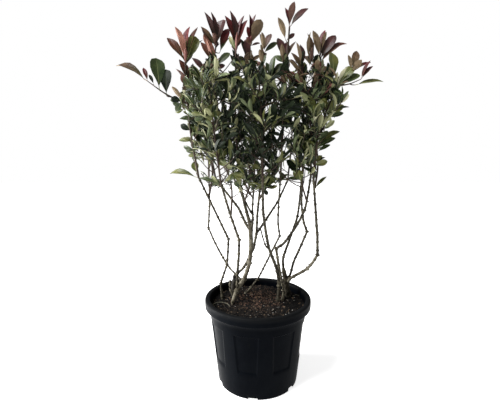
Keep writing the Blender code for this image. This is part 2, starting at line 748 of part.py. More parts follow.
def fuse(name, pieces):
    """Join closed pieces into one body, with fewer of them where a union isn't sound."""
    sound = False
    while not sound:
        joined, sound = union(pieces, "EXACT")
        if not sound:
            joined, sound = union(pieces, "MANIFOLD")
        if not sound:
            bpy.data.objects.remove(pieces.pop(), do_unlink=True)
    pieces[0].data = joined
    pieces[0].name = name
    for piece in pieces[1:]:
        bpy.data.objects.remove(piece, do_unlink=True)
    return pieces[0]


def islands(shape):
    """Return the groups of connected faces of a mesh."""
    left = set(shape.faces)
    groups = []
    while left:
        start = left.pop()
        group = [start]
        queue = [start]
        while queue:
            face = queue.pop()
            for edge in face.edges:
                for near in edge.link_faces:
                    if near in left:
                        left.remove(near)
                        group.append(near)
                        queue.append(near)
        groups.append(group)
    return groups


def keep_body(mesh):
    """Keep only the largest body of a mesh, and tell whether it is closed."""
    shape = bmesh.new()
    shape.from_mesh(mesh)
    groups = sorted(islands(shape), key=len, reverse=True)
    scraps = [face for group in groups[1:] for face in group]
    bmesh.ops.delete(shape, geom=scraps, context="FACES")
    closed = all(edge.is_manifold for edge in shape.edges)
    shape.to_mesh(mesh)
    shape.free()
    return closed


def build():
    """Build the whole plant in its pot."""
    clear_scene()
    materials = make_materials()
    base = bpy.data.objects.new("photinia", None)
    bpy.context.scene.collection.objects.link(base)
    parts = [add_pot(materials["plastic"]), add_soil(materials["compost"])]
    grown = {}
    for limb in LIMBS:
        add_limb(limb, grown, materials["bark"])
        parts.append(grown[limb.name].thing)
    foliage = Foliage(grown, materials)
    for mass in MASSES:
        foliage.plan_leader(mass)
    for mass in MASSES:
        parts.append(foliage.grow(mass))
    for part in parts:
        part.parent = base


build()
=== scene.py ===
"""Looks of a potted multi-stem photinia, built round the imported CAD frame.

The nursery pot, the compost, the bare stems and the leafy crown are each a class. Sizes are in
metres in the CAD's frame, and routes and marks are written in millimetres. Z is up, -Y is the
front, and the ground is at zero.
"""
from __future__ import annotations

import json
import logging
import math
from dataclasses import dataclass, field
from enum import Enum
from random import Random

import bmesh
import bpy
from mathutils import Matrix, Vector, noise

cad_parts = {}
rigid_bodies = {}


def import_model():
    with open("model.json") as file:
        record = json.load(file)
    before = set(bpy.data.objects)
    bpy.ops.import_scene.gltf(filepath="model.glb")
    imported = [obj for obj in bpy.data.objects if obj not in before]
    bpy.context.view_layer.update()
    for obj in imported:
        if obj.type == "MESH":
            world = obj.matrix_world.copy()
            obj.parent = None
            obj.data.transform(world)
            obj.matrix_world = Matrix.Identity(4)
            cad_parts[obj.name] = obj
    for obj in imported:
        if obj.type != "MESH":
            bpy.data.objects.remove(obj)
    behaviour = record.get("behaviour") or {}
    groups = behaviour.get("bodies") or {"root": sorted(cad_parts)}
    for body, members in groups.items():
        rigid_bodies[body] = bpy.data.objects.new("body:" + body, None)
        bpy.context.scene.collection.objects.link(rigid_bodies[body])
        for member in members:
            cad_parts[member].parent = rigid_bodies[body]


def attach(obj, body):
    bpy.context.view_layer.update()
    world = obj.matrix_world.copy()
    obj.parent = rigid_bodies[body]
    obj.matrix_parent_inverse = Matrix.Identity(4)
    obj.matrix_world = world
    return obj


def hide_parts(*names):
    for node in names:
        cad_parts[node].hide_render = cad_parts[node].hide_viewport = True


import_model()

LOG = logging.getLogger("photinia")
MM = 0.001
UP = Vector((0.0, 0.0, 1.0))
BODY = "root"
GOLDEN_ANGLE = math.radians(137.5)
SHARP_ANGLE = math.radians(35)
WHITE = (1.0, 1.0, 1.0)
TINY = 1e-9
ELBOW_REACH = 3.0
WOOD_DETAIL = 3.0
BELOW, OUTWARD, ABOVE, INWARD = -90, 0, 90, 180

Colour = tuple[float, float, float]
Pair = tuple[float, float]
Patches = tuple[float, float, float, float]
Path = list[Vector]
Piece = bpy.types.Object
Mesh = bpy.types.Mesh
Material = bpy.types.Material
Tree = bpy.types.NodeTree
Node = bpy.types.Node
Socket = bpy.types.NodeSocket
Sockets = bpy.types.bpy_prop_collection


class Graph:
    """A node tree under construction, with short calls for the nodes that it uses most."""

    def __init__(self, tree: Tree) -> None:
        """Start on a node tree."""
        self.tree = tree

    def fill(self, node: Node, inputs: dict) -> None:
        """Join sockets to a node's inputs or set their values, by the input's name or number.

        Args:
            node: The node.
            inputs: The sockets and values.
        """
        for key, value in inputs.items():
            socket = node.inputs[key]
            if isinstance(value, Socket):
                self.tree.links.new(value, socket)
            else:
                socket.default_value = (*value, 1.0) if socket.type == "RGBA" else value

    def add(self, kind: str, inputs: dict | None = None, **settings: object) -> Node:
        """Add a node to the tree.

        Args:
            kind: The node's type name in Blender.
            inputs: Values or sockets to join, by the input's name or number.
            settings: Properties of the node, set before its inputs.

        Returns:
            The new node.
        """
        node = self.tree.nodes.new(kind)
        for name, value in settings.items():
            setattr(node, name, value)
        self.fill(node, inputs or {})
        return node

    def get(self, kind: str, inputs: dict | None = None, **settings: object) -> Socket:
        """Add a node in the same way and return its first output."""
        return self.add(kind, inputs, **settings).outputs[0]

    def number(self, operation: str, *values: object) -> Socket:
        """Add a Math node and return its result."""
        return self.get("ShaderNodeMath", dict(enumerate(values)), operation=operation)

    def times(self, first: object, second: object) -> Socket:
        """Return the product of two values."""
        return self.number("MULTIPLY", first, second)

    def blend(self, share: object, first: object, second: object) -> Socket:
        """Add a colour Mix node and return its result."""
        return self.add("ShaderNodeMix", {0: share, 6: first, 7: second}, data_type="RGBA").outputs[2]

    def between(self, value: object, low: object, high: object) -> Socket:
        """Return where a value lies between two others, from 0 to 1."""
        return self.get("ShaderNodeMapRange", {"Value": value, "From Min": low, "From Max": high})

    def spread(self, share: object, low: object, high: object) -> Socket:
        """Return the value at a share, from 0 to 1, of the way between two others."""
        return self.get("ShaderNodeMapRange", {"Value": share, "To Min": low, "To Max": high})

    def split(self, vector: Socket) -> Sockets:
        """Return the X, Y and Z of a vector."""
        return self.add("ShaderNodeSeparateXYZ", {0: vector}).outputs

    def noise(self, vector: Socket, size: Socket, inputs: dict, **settings: object) -> Socket:
        """Add a Noise Texture with lumps of a given size and return its value."""
        scale = self.number("DIVIDE", 1.0, size)
        return self.get("ShaderNodeTexNoise", {"Vector": vector, "Scale": scale, **inputs}, **settings)


def new_tree(name: str, kind: str, inputs: dict[str, str],
             output: tuple[str, str]) -> tuple[Graph, Sockets]:
    """Make a node group with named sockets.

    Args:
        name: The group's name.
        kind: The tree's type, for shaders or geometry.
        inputs: Socket types by input name.
        output: The output's name and socket type.

    Returns:
        The group's graph, and the sockets that its input node gives.
    """
    tree = bpy.data.node_groups.new(name, kind)
    for way, sockets in (("INPUT", inputs), ("OUTPUT", dict([output]))):
        for label, socket in sockets.items():
            tree.interface.new_socket(name=label, in_out=way, socket_type="NodeSocket" + socket)
    graph = Graph(tree)
    return graph, graph.add("NodeGroupInput").outputs


class Effects:
    """Shader node groups that more than one finish uses."""

    GRAIN_NOISE = {"Detail": 4.0, "Roughness": 0.6}
    DUST_NOISE = {"Detail": 5.0, "Roughness": 0.65}
    DUST_LEVELS = (0.42, 0.70)
    DUST_SLOPES = (-0.6, 1.0)

    def __init__(self) -> None:
        """Build each group once."""
        self.mottle = self.build_mottle()
        self.grain = self.build_grain()
        self.specks = self.build_specks()
        self.dust = self.build_dust()

    def start(self, name: str, inputs: tuple[str, ...], output: str) -> tuple[Graph, Sockets]:
        """Start a group that takes a vector, then the numbers and colours that are listed."""
        kinds = {label: "Color" if "Colour" in label else "Float" for label in (*inputs, output)}
        given = {"Vector": "Vector", **{label: kinds[label] for label in inputs}}
        return new_tree(name, "ShaderNodeTree", given, (output, kinds[output]))

    def build_mottle(self) -> Tree:
        """Make soft patches of a given size, as a mask from 0 to 1."""
        graph, given = self.start("mottle", ("Size", "Detail", "Low", "High"), "Mask")
        patches = graph.noise(given["Vector"], given["Size"], {"Detail": given["Detail"]})
        graph.add("NodeGroupOutput", {"Mask": graph.between(patches, given["Low"], given["High"])})
        return graph.tree

    def build_grain(self) -> Tree:
        """Make a fine grain that can be drawn out upwards, as a height."""
        graph, given = self.start("grain", ("Size", "Stretch"), "Height")
        squeeze = graph.number("DIVIDE", 1.0, given["Stretch"])
        scales = graph.get("ShaderNodeCombineXYZ", {"X": 1.0, "Y": 1.0, "Z": squeeze})
        drawn = graph.get("ShaderNodeVectorMath", {0: given["Vector"], 1: scales}, operation="MULTIPLY")
        graph.add("NodeGroupOutput", {"Height": graph.noise(drawn, given["Size"], self.GRAIN_NOISE)})
        return graph.tree

    def build_specks(self) -> Tree:
        """Make scattered round specks, as a mask from 0 to 1."""
        graph, given = self.start("specks", ("Spacing", "Radius"), "Mask")
        scale = graph.number("DIVIDE", 1.0, given["Spacing"])
        away = graph.get("ShaderNodeTexVoronoi", {"Vector": given["Vector"], "Scale": scale})
        graph.add("NodeGroupOutput", {"Mask": graph.between(away, given["Radius"], 0.0)})
        return graph.tree

    def build_dust(self) -> Tree:
        """Lay dust on a colour, mostly where the surface faces up."""
        graph, given = self.start("dust", ("Colour", "Dust Colour", "Amount", "Size"), "Colour")
        normal = graph.add("ShaderNodeNewGeometry").outputs["Normal"]
        lying = graph.between(graph.split(normal)["Z"], *self.DUST_SLOPES)
        drifts = graph.noise(given["Vector"], given["Size"], self.DUST_NOISE)
        patch = graph.between(drifts, *self.DUST_LEVELS)
        share = graph.times(graph.times(lying, patch), given["Amount"])
        graph.add("NodeGroupOutput", {"Colour": graph.blend(share, given["Colour"], given["Dust Colour"])})
        return graph.tree


class Surface(Graph):
    """A material under construction: its Principled shader, and the shared effects laid on its piece."""

    def __init__(self, name: str, effects: Effects) -> None:
        """Start a material that reads its piece's own coordinates.

        Args:
            name: The material's name.
            effects: The shared shader groups.
        """
        self.material = bpy.data.materials.new(name)
        self.material.use_nodes = True
        super().__init__(self.material.node_tree)
        self.shader = self.tree.nodes["Principled BSDF"]
        self.effects = effects
        self.place = self.add("ShaderNodeTexCoord").outputs["Object"]

    def effect(self, group: Tree, inputs: dict) -> Socket:
        """Lay a shared effect on the piece and return what it puts out."""
        return self.get("ShaderNodeGroup", {"Vector": self.place, **inputs}, node_tree=group)

    def mottle(self, size: float, detail: float, low: float, high: float) -> Socket:
        """Return soft patches of a size, as a mask between two levels of their noise."""
        return self.effect(self.effects.mottle, {"Size": size, "Detail": detail, "Low": low, "High": high})

    def grain(self, size: float, stretch: float = 1.0) -> Socket:
        """Return the height of a fine grain of a size, drawn out upwards."""
        return self.effect(self.effects.grain, {"Size": size, "Stretch": stretch})

    def specks(self, spacing: float, radius: float) -> Socket:
        """Return round specks, with their radius as a share of their spacing."""
        return self.effect(self.effects.specks, {"Spacing": spacing, "Radius": radius})

    def dress(self, colour: Socket, rough: Socket, height: Socket, bump: Pair,
              specular: object) -> Material:
        """Join the finish to the shader.

        Args:
            colour: The colour.
            rough: The roughness.
            height: The height of the relief.
            bump: The relief's strength and its depth.
            specular: The specular level.

        Returns:
            The finished material.
        """
        relief = self.get("ShaderNodeBump", {"Strength": bump[0], "Distance": bump[1], "Height": height})
        self.fill(self.shader, {"Base Color": colour, "Roughness": rough, "Normal": relief,
                                "Specular IOR Level": specular})
        return self.material


@dataclass(frozen=True)
class PlasticFinish:
    """Satin black moulded plastic, faintly blue, with dust, fine scuffs and a painted sheen: a lighter
    colour on the top of the collar.
    """

    name: str = "black_plastic_finish"
    body: Colour = (0.0008, 0.0014, 0.0026)
    worn: Colour = (0.0016, 0.0024, 0.0038)
    flow: Patches = (60 * MM, 3.0, 0.35, 0.70)
    # painted sheen: the collar colour, lighter than the body, stands in for the highlight on the collar's
    # top
    collar: Colour = (0.0056, 0.0060, 0.0066)
    collar_heights: Pair = (231 * MM, 243 * MM)
    collar_roughness: float = 0.62
    dust: Colour = (0.100, 0.095, 0.085)
    dust_amount: float = 0.015
    dust_size: float = 14 * MM
    specular: Pair = (0.018, 0.04)
    scuffs: Pair = (2.2 * MM, 14.0)
    scuff_levels: Pair = (0.35, 0.75)
    roughness: Pair = (0.28, 0.42)
    pitting: float = 0.9 * MM
    bump: Pair = (0.12, 0.3 * MM)

    def material(self, effects: Effects) -> Material:
        """Build the finish from the shared effects.

        Args:
            effects: The shared shader groups.

        Returns:
            The new material.
        """
        surface = Surface(self.name, effects)
        on_collar = surface.between(surface.split(surface.place)["Z"], *self.collar_heights)
        plain = surface.blend(surface.mottle(*self.flow), self.body, self.worn)
        # painted sheen: the band at the collar heights takes the lighter collar colour; its roughness and
        # specular below are real
        plain = surface.blend(on_collar, plain, self.collar)
        dusty = surface.effect(effects.dust, {"Colour": plain, "Dust Colour": self.dust,
                                              "Amount": self.dust_amount, "Size": self.dust_size})
        scuffed = surface.between(surface.grain(*self.scuffs), *self.scuff_levels)
        rough = surface.spread(scuffed, *self.roughness)
        rough = surface.number("MAXIMUM", rough, surface.times(on_collar, self.collar_roughness))
        shine = surface.spread(on_collar, *self.specular)
        return surface.dress(dusty, rough, surface.grain(self.pitting), self.bump, shine)


@dataclass(frozen=True)
class EarthFinish:
    """Crumbly compost or one of its crumbs: two browns in fine patches, quite matt."""

    name: str
    dark: Colour
    light: Colour
    patches: Patches = (5 * MM, 5.0, 0.38, 0.66)
    grit: float = 5 * MM / 3
    roughness: Pair = (0.82, 1.0)
    bump: Pair = (0.8, 1.2 * MM)
    specular: float = 0.15

    def material(self, effects: Effects) -> Material:
        """Build the finish from the shared effects."""
        surface = Surface(self.name, effects)
        colour = surface.blend(surface.mottle(*self.patches), self.dark, self.light)
        grit = surface.grain(self.grit)
        return surface.dress(colour, surface.spread(grit, *self.roughness), grit, self.bump, self.specular)


@dataclass(frozen=True)
class BarkFinish:
    """Photinia bark: drawn-out streaks, paler weathered patches and small pale pores."""

    name: str
    dark: Colour
    light: Colour
    weathered: Colour
    weathering: float = 0.5
    streak: float = 1.6 * MM
    stretch: float = 5.0
    streak_levels: Pair = (0.36, 0.64)
    patches: Patches = (16 * MM, 4.0, 0.44, 0.60)
    pores: Pair = (4.5 * MM, 0.16)
    pore_colour: float = 0.5
    pore_height: float = 0.4
    roughness: Pair = (0.58, 0.86)
    bump: Pair = (0.7, 0.6 * MM)
    specular: float = 0.22

    def material(self, effects: Effects) -> Material:
        """Build the finish from the shared effects.

        Args:
            effects: The shared shader groups.

        Returns:
            The new material.
        """
        surface = Surface(self.name, effects)
        height = surface.grain(self.streak, self.stretch)
        barred = surface.blend(surface.between(height, *self.streak_levels), self.dark, self.light)
        share = surface.times(surface.mottle(*self.patches), self.weathering)
        aged = surface.blend(share, barred, self.weathered)
        pores = surface.specks(*self.pores)
        colour = surface.blend(surface.times(pores, self.pore_colour), aged, self.weathered)
        relief = surface.number("ADD", height, surface.times(pores, self.pore_height))
        rough = surface.spread(height, *self.roughness)
        return surface.dress(colour, rough, relief, self.bump, self.specular)


class LeafPart(Enum):
    """The parts of a leaf that take their own colour."""

    FACE = 0
    UNDER = 1
    RIB = 2


def brighter(colour: Colour, share: float) -> Colour:
    """Return a colour with its brightness multiplied."""
    return tuple(share * channel for channel in colour)


@dataclass(frozen=True)
class LeafFinish:
    """The colours of one tint of leaf: its glossy face, paler underside, and midrib."""

    face: Colour
    blush: Colour
    under: Colour
    rib: Colour
    foot: Colour
    slot: str
    gloss: float = 0.30
    specular: float = 0.45
    matt: Pair = (0.62, 0.50)
    less_gloss: float = 0.14
    under_patches: float = 1.25
    patches: Patches = (26 * MM, 3.0, 0.40, 0.62)
    spots: Pair = (7 * MM, 0.10)
    spot_colour: float = 0.55
    spot_share: float = 0.6
    foot_reach: Pair = (0.05, 0.65)
    grain: float = 1.4 * MM
    grain_height: float = 0.3
    veins: float = 11 * math.tau
    vein_slant: float = 0.5
    vein_width: float = 0.4
    bump: Pair = (0.35, 0.5 * MM)

    def materials(self, name: str, effects: Effects) -> list[Material]:
        """Build the three materials of a leaf, in the order of its parts.

        Args:
            name: The start of each material's name.
            effects: The shared shader groups.

        Returns:
            The materials of the face, the underside and the midrib.
        """
        pale = brighter(self.under, self.under_patches)
        return [
            self.part(name + "_face", self.face, self.blush, self.foot, self.gloss, effects),
            self.part(name + "_under", self.under, pale, self.under, self.matt[0], effects),
            self.part(name + "_rib", self.rib, self.rib, self.rib, self.matt[1], effects),
        ]

    def part(self, name: str, colour: Colour, other: Colour, foot: Colour, gloss: float,
             effects: Effects) -> Material:
        """Build one leaf material.

        Args:
            name: The material's name.
            colour: The main colour.
            other: The colour of the patches.
            foot: The colour at the leaf's foot.
            gloss: The lowest roughness.
            effects: The shared shader groups.

        Returns:
            The new material.
        """
        surface = Surface(name, effects)
        patches = surface.mottle(*self.patches)
        spots = surface.times(surface.specks(*self.spots), self.spot_share)
        on_leaf = surface.split(surface.get("ShaderNodeUVMap", uv_map="leaf"))
        tone = surface.blend(surface.between(on_leaf["Y"], *self.foot_reach), foot,
                             surface.blend(patches, colour, other))
        spotted = surface.blend(spots, tone, brighter(colour, self.spot_colour))
        rough = surface.spread(patches, gloss, gloss + self.less_gloss)
        grain = surface.times(surface.grain(self.grain), self.grain_height)
        height = surface.number("ADD", grain, self.vein_height(surface, on_leaf))
        return surface.dress(spotted, rough, height, self.bump, self.specular)

    def vein_height(self, surface: Surface, on_leaf: Sockets) -> Socket:
        """Return the height of the side veins, which run forward from the midrib.

        Args:
            surface: The material under construction.
            on_leaf: The place on the leaf.

        Returns:
            The height.
        """
        away = surface.number("ABSOLUTE", surface.number("SUBTRACT", on_leaf["X"], 0.5))
        along = surface.number("SUBTRACT", on_leaf["Y"], surface.times(away, self.vein_slant))
        wave = surface.number("SINE", surface.times(along, self.veins))
        return surface.number("POWER", surface.number("ABSOLUTE", wave), self.vein_width)


class Tint(Enum):
    """The colours that the sprays are dealt."""

    # SHADE is painted shade: a near-black leaf colour for leaves that stand in the crown's shade
    SHADE = "shade"
    GREEN = "green"
    OLIVE = "olive"
    SAGE = "sage"
    BRONZE = "bronze"
    COPPER = "copper"
    PLUM = "plum"
    CRIMSON = "crimson"


SHADE, GREEN, OLIVE, SAGE, BRONZE, COPPER, PLUM, CRIMSON = Tint
RED_TINTS = (COPPER, PLUM, CRIMSON)

LEAF_FINISHES = {
    # The SHADE finish is painted shade, near black with little gloss
    SHADE: LeafFinish((0.003, 0.007, 0.003), (0.009, 0.016, 0.006), (0.012, 0.019, 0.008),
                      (0.026, 0.037, 0.015), (0.002, 0.004, 0.002), "green_leaf", 0.36, 0.15),
    GREEN: LeafFinish((0.028, 0.048, 0.013), (0.052, 0.075, 0.019), (0.105, 0.130, 0.056),
                      (0.130, 0.155, 0.060), (0.016, 0.032, 0.010), "green_leaf"),
    OLIVE: LeafFinish((0.090, 0.110, 0.025), (0.145, 0.145, 0.036), (0.220, 0.225, 0.110),
                      (0.260, 0.265, 0.110), (0.045, 0.066, 0.016), "green_leaf"),
    SAGE: LeafFinish((0.250, 0.285, 0.130), (0.350, 0.360, 0.190), (0.470, 0.460, 0.300),
                     (0.450, 0.450, 0.260), (0.130, 0.160, 0.060), "green_leaf"),
    BRONZE: LeafFinish((0.078, 0.044, 0.025), (0.130, 0.078, 0.042), (0.195, 0.140, 0.082),
                       (0.150, 0.100, 0.060), (0.040, 0.050, 0.018), "bronze_leaf", 0.30, 0.30),
    COPPER: LeafFinish((0.078, 0.028, 0.017), (0.130, 0.048, 0.028), (0.165, 0.066, 0.042),
                       (0.160, 0.070, 0.044), (0.045, 0.040, 0.016), "bronze_leaf", 0.30, 0.30),
    PLUM: LeafFinish((0.044, 0.017, 0.017), (0.078, 0.028, 0.026), (0.135, 0.070, 0.052),
                     (0.110, 0.048, 0.040), (0.024, 0.024, 0.012), "crimson_leaf", 0.30, 0.30),
    CRIMSON: LeafFinish((0.076, 0.012, 0.015), (0.130, 0.023, 0.025), (0.150, 0.056, 0.045),
                        (0.150, 0.045, 0.038), (0.050, 0.030, 0.014), "crimson_leaf", 0.30, 0.30),
}


def put_in_scene(name: str, data: object) -> Piece:
    """Make an object of a mesh, a lamp or a lens, and link it to the scene."""
    thing = bpy.data.objects.new(name, data)
    bpy.context.scene.collection.objects.link(thing)
    return thing


def link_piece(name: str, mesh: Mesh, nodes: tuple[str, ...] = ()) -> Piece:
    """Place a finished mesh in the scene as a piece of the plant.

    Args:
        name: The piece's name.
        mesh: Its mesh, in the CAD's frame.
        nodes: The CAD nodes that it replaces.

    Returns:
        The new piece.
    """
    mesh.name = name
    piece = put_in_scene(name, mesh)
    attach(piece, BODY)
    if nodes:
        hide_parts(*nodes)
    return piece


def plain_mesh(worker: Piece, working: tuple[str, ...] = ()) -> Mesh:
    """Return the mesh that an object's modifiers make, and remove the object and working attributes.

    Args:
        worker: The object.
        working: The attributes that the mesh no longer needs.

    Returns:
        The mesh.
    """
    graph = bpy.context.evaluated_depsgraph_get()
    result = bpy.data.meshes.new_from_object(worker.evaluated_get(graph), depsgraph=graph)
    worker.modifiers.clear()
    bpy.data.objects.remove(worker, do_unlink=True)
    for name in working:
        if name in result.attributes:
            result.attributes.remove(result.attributes[name])
    return result


def grown(mesh: Mesh, tree: Tree, inputs: dict[str, object], working: tuple[str, ...]) -> Mesh:
    """Run a geometry tree on a mesh and return the plain mesh that it makes.

    Args:
        mesh: The mesh that the tree starts from.
        tree: The geometry node tree.
        inputs: Values by the names of the tree's inputs.
        working: The attributes that the result no longer needs.

    Returns:
        The resulting mesh.
    """
    worker = put_in_scene("worker", mesh)
    modifier = worker.modifiers.new("nodes", "NODES")
    modifier.node_group = tree
    for item in tree.interface.items_tree:
        if item.in_out == "INPUT" and item.name in inputs:
            modifier[item.identifier] = inputs[item.name]
    result = plain_mesh(worker, working)
    bpy.data.meshes.remove(mesh)
    return result


class GrowingTree(Graph):
    """A geometry tree under construction, from its input geometry to its output."""

    def __init__(self, name: str, inputs: dict[str, str]) -> None:
        """Start a tree with its geometry and its named inputs."""
        graph, self.given = new_tree(name, "GeometryNodeTree", {"Geometry": "Geometry", **inputs},
                                     ("Geometry", "Geometry"))
        super().__init__(graph.tree)

    def stored(self, name: str, kind: str) -> Socket:
        """Return a named attribute of the points or faces."""
        return self.get("GeometryNodeInputNamedAttribute", {"Name": name}, data_type=kind)

    def step(self, kind: str, geometry: Socket, inputs: dict | None = None) -> Socket:
        """Put geometry through a node, and return what it becomes."""
        return self.get("GeometryNode" + kind, {"Geometry": geometry, **(inputs or {})})

    def end(self, geometry: Socket) -> Tree:
        """Join the finished geometry to the output and return the tree."""
        self.add("NodeGroupOutput", {"Geometry": geometry})
        return self.tree


def tube_tree() -> Tree:
    """Make the geometry tree that sweeps rough round wood along chains of edges."""
    graph = GrowingTree("swept_wood", {"Sides": "Int", "Relief": "Float", "Relief Size": "Float",
                                       "Seed": "Float", "Material": "Material"})
    given = graph.given
    girth = graph.stored("girth", "FLOAT")
    axes = graph.get("GeometryNodeMeshToCurve", {"Mesh": given["Geometry"]})
    ring = graph.get("GeometryNodeCurvePrimitiveCircle", {"Resolution": given["Sides"], "Radius": 1.0})
    swept = graph.get("GeometryNodeCurveToMesh", {"Curve": axes, "Profile Curve": ring, "Scale": girth,
                                                  "Fill Caps": True})
    place = graph.get("GeometryNodeInputPosition")
    rough = graph.noise(place, given["Relief Size"], {"W": given["Seed"], "Detail": WOOD_DETAIL},
                        noise_dimensions="4D")
    swell = graph.times(graph.number("SUBTRACT", rough, 0.5), given["Relief"])
    normal = graph.get("GeometryNodeInputNormal")
    push = graph.get("ShaderNodeVectorMath", {0: normal, "Scale": graph.times(swell, girth)},
                     operation="SCALE")
    moved = graph.step("SetPosition", swept, {"Offset": push})
    real = graph.step("RealizeInstances", graph.step("SetShadeSmooth", moved))
    return graph.end(graph.step("SetMaterial", real, {"Material": given["Material"]}))


def sowing_tree(layers: int) -> Tree:
    """Make the geometry tree that sets small shapes on points, each turned and sized its own way.

    Args:
        layers: How many materials the shapes take, by their face attribute "part".

    Returns:
        The tree.
    """
    materials = {f"Material {layer}": "Material" for layer in range(layers)}
    graph = GrowingTree("sowing", {"Shapes": "Collection", **materials})
    given = graph.given
    shapes = graph.get("GeometryNodeCollectionInfo", {"Collection": given["Shapes"],
                                                      "Separate Children": True, "Reset Children": True})
    turned = graph.get("FunctionNodeAxesToRotation", {0: graph.stored("aim", "FLOAT_VECTOR"),
                                                      1: graph.stored("face", "FLOAT_VECTOR")},
                       primary_axis="Y", secondary_axis="Z")
    sown = graph.get("GeometryNodeInstanceOnPoints",
                     {"Points": given["Geometry"], "Instance": shapes, "Pick Instance": True,
                      "Instance Index": graph.stored("form", "INT"), "Rotation": turned,
                      "Scale": graph.stored("size", "FLOAT_VECTOR")})
    result = graph.step("RealizeInstances", sown)
    part = graph.stored("part", "INT")
    for layer, material in enumerate(materials):
        chosen = graph.get("FunctionNodeCompare", {2: part, 3: layer}, data_type="INT", operation="EQUAL")
        result = graph.step("SetMaterial", result, {"Selection": chosen, "Material": given[material]})
    return graph.end(result)


@dataclass(frozen=True)
class Tube:
    """A piece of wood: its axis and its radius at each point."""

    path: Path
    girths: list[float]


@dataclass(frozen=True)
class Seat:
    """The place, direction, upper side and size of one sown shape."""

    place: Vector
    aim: Vector
    face: Vector
    size: tuple[float, float, float]
    form: int = 0


class Maker:
    """Turns tubes and seats into meshes, with one geometry tree for each kind."""

    RELIEF_SEED = 3.0

    def __init__(self) -> None:
        """Build the trees."""
        self.tubes = tube_tree()
        self.plain = sowing_tree(1)
        self.leafy = sowing_tree(len(LeafPart))

    def sweep(self, tubes: list[Tube], material: Material, sides: int, relief: float,
              relief_size: float) -> Mesh:
        """Sweep tubes into one mesh.

        Args:
            tubes: The axes and radii.
            material: The finish.
            sides: How many sides each ring has.
            relief: How far the bark stands in and out, as a share of the radius.
            relief_size: How long a hump of the bark is.

        Returns:
            The mesh.
        """
        edges = []
        first = 0
        for tube in tubes:
            edges += [(first + step, first + step + 1) for step in range(len(tube.path) - 1)]
            first += len(tube.path)
        mesh = bpy.data.meshes.new("axes")
        mesh.from_pydata([tuple(point) for tube in tubes for point in tube.path], edges, [])
        girths = mesh.attributes.new("girth", "FLOAT", "POINT")
        girths.data.foreach_set("value", [girth for tube in tubes for girth in tube.girths])
        inputs = {"Sides": sides, "Relief": relief, "Relief Size": relief_size, "Seed": self.RELIEF_SEED,
                  "Material": material}
        return grown(mesh, self.tubes, inputs, ("girth",))

    def sow(self, seats: list[Seat], shapes: list[Mesh], materials: list[Material]) -> Mesh:
        """Set shapes on seats, joined into one mesh.

        Args:
            seats: Where each shape goes and how it is turned.
            shapes: The shapes to choose from, by each seat's form.
            materials: The finishes, by the shapes' face attribute "part".

        Returns:
            The mesh.
        """
        mesh = bpy.data.meshes.new("seats")
        mesh.from_pydata([tuple(seat.place) for seat in seats], [], [])
        for name in ("aim", "face", "size"):
            values = mesh.attributes.new(name, "FLOAT_VECTOR", "POINT")
            values.data.foreach_set("vector", [part for seat in seats for part in getattr(seat, name)])
        forms = mesh.attributes.new("form", "INT", "POINT")
        forms.data.foreach_set("value", [seat.form for seat in seats])
        basket = bpy.data.collections.new("shapes")
        for index, shape in enumerate(shapes):
            basket.objects.link(bpy.data.objects.new(f"form_{index}", shape))
        tree = self.leafy if len(materials) > 1 else self.plain
        inputs = {f"Material {layer}": material for layer, material in enumerate(materials)}
        result = grown(mesh, tree, {"Shapes": basket, **inputs}, ("aim", "face", "size", "form", "part"))
        empty(basket)
        return result


def empty(basket: bpy.types.Collection) -> None:
    """Remove a collection and the objects in it."""
    for thing in list(basket.objects):
        bpy.data.objects.remove(thing, do_unlink=True)
    bpy.data.collections.remove(basket)


def closed_mesh(name: str, points: Path, faces: list, materials: tuple[Material, ...] = ()) -> Mesh:
    """Make a closed mesh that faces outward and is smooth but for its sharp edges.

    Args:
        name: The mesh's name.
        points: Its points.
        faces: Its faces, as point numbers.
        materials: Its finishes.

    Returns:
        The mesh.
    """
    mesh = bpy.data.meshes.new(name)
    mesh.from_pydata([tuple(point) for point in points], [], faces)
    shape = bmesh.new()
    shape.from_mesh(mesh)
    bmesh.ops.recalc_face_normals(shape, faces=shape.faces)
    shape.to_mesh(mesh)
    shape.free()
    mesh.shade_smooth()
    mesh.set_sharp_from_angle(angle=SHARP_ANGLE)
    for material in materials:
        mesh.materials.append(material)
    return mesh


def turned_faces(rows: int, columns: int) -> list[tuple[int, ...]]:
    """Return the faces of a turned shape: a point below, rows of columns, a point above.

    Args:
        rows: How many rings of points there are.
        columns: How many points each ring has.

    Returns:
        The faces, as point numbers.
    """
    faces = []
    for row in range(rows - 1):
        for column in range(columns):
            beside = (column + 1) % columns
            low = 1 + row * columns
            high = low + columns
            faces.append((low + column, low + beside, high + beside, high + column))
    last = 1 + rows * columns
    top = last - columns
    for column in range(columns):
        beside = (column + 1) % columns
        faces.append((0, 1 + beside, 1 + column))
        faces.append((last, top + column, top + beside))
    return faces


def around(angle: float, radius: float, height: float) -> Vector:
    """Return the point at an angle from the front, turning towards +X."""
    return Vector((math.sin(angle) * radius, -math.cos(angle) * radius, height))


def ease(value: float, low: float, high: float) -> float:
    """Return a smooth step from 0 at low to 1 at high."""
    share = min(max((value - low) / (high - low), 0.0), 1.0)
    return share * share * (3 - 2 * share)


def arc(middle: Pair, radius: float, start: float, finish: float, steps: int) -> list[Pair]:
    """Return points on a rounded edge of a profile.

    Args:
        middle: The arc's centre, as a radius from the pot's axis and a height.
        radius: The arc's own radius.
        start: The angle of its first point in degrees, such as BELOW or OUTWARD.
        finish: The angle of its last point.
        steps: How many spans it has.

    Returns:
        Pairs of radius and height.
    """
    turns = [math.radians(start + (finish - start) * step / steps) for step in range(steps + 1)]
    return [(middle[0] + math.cos(turn) * radius, middle[1] + math.sin(turn) * radius) for turn in turns]


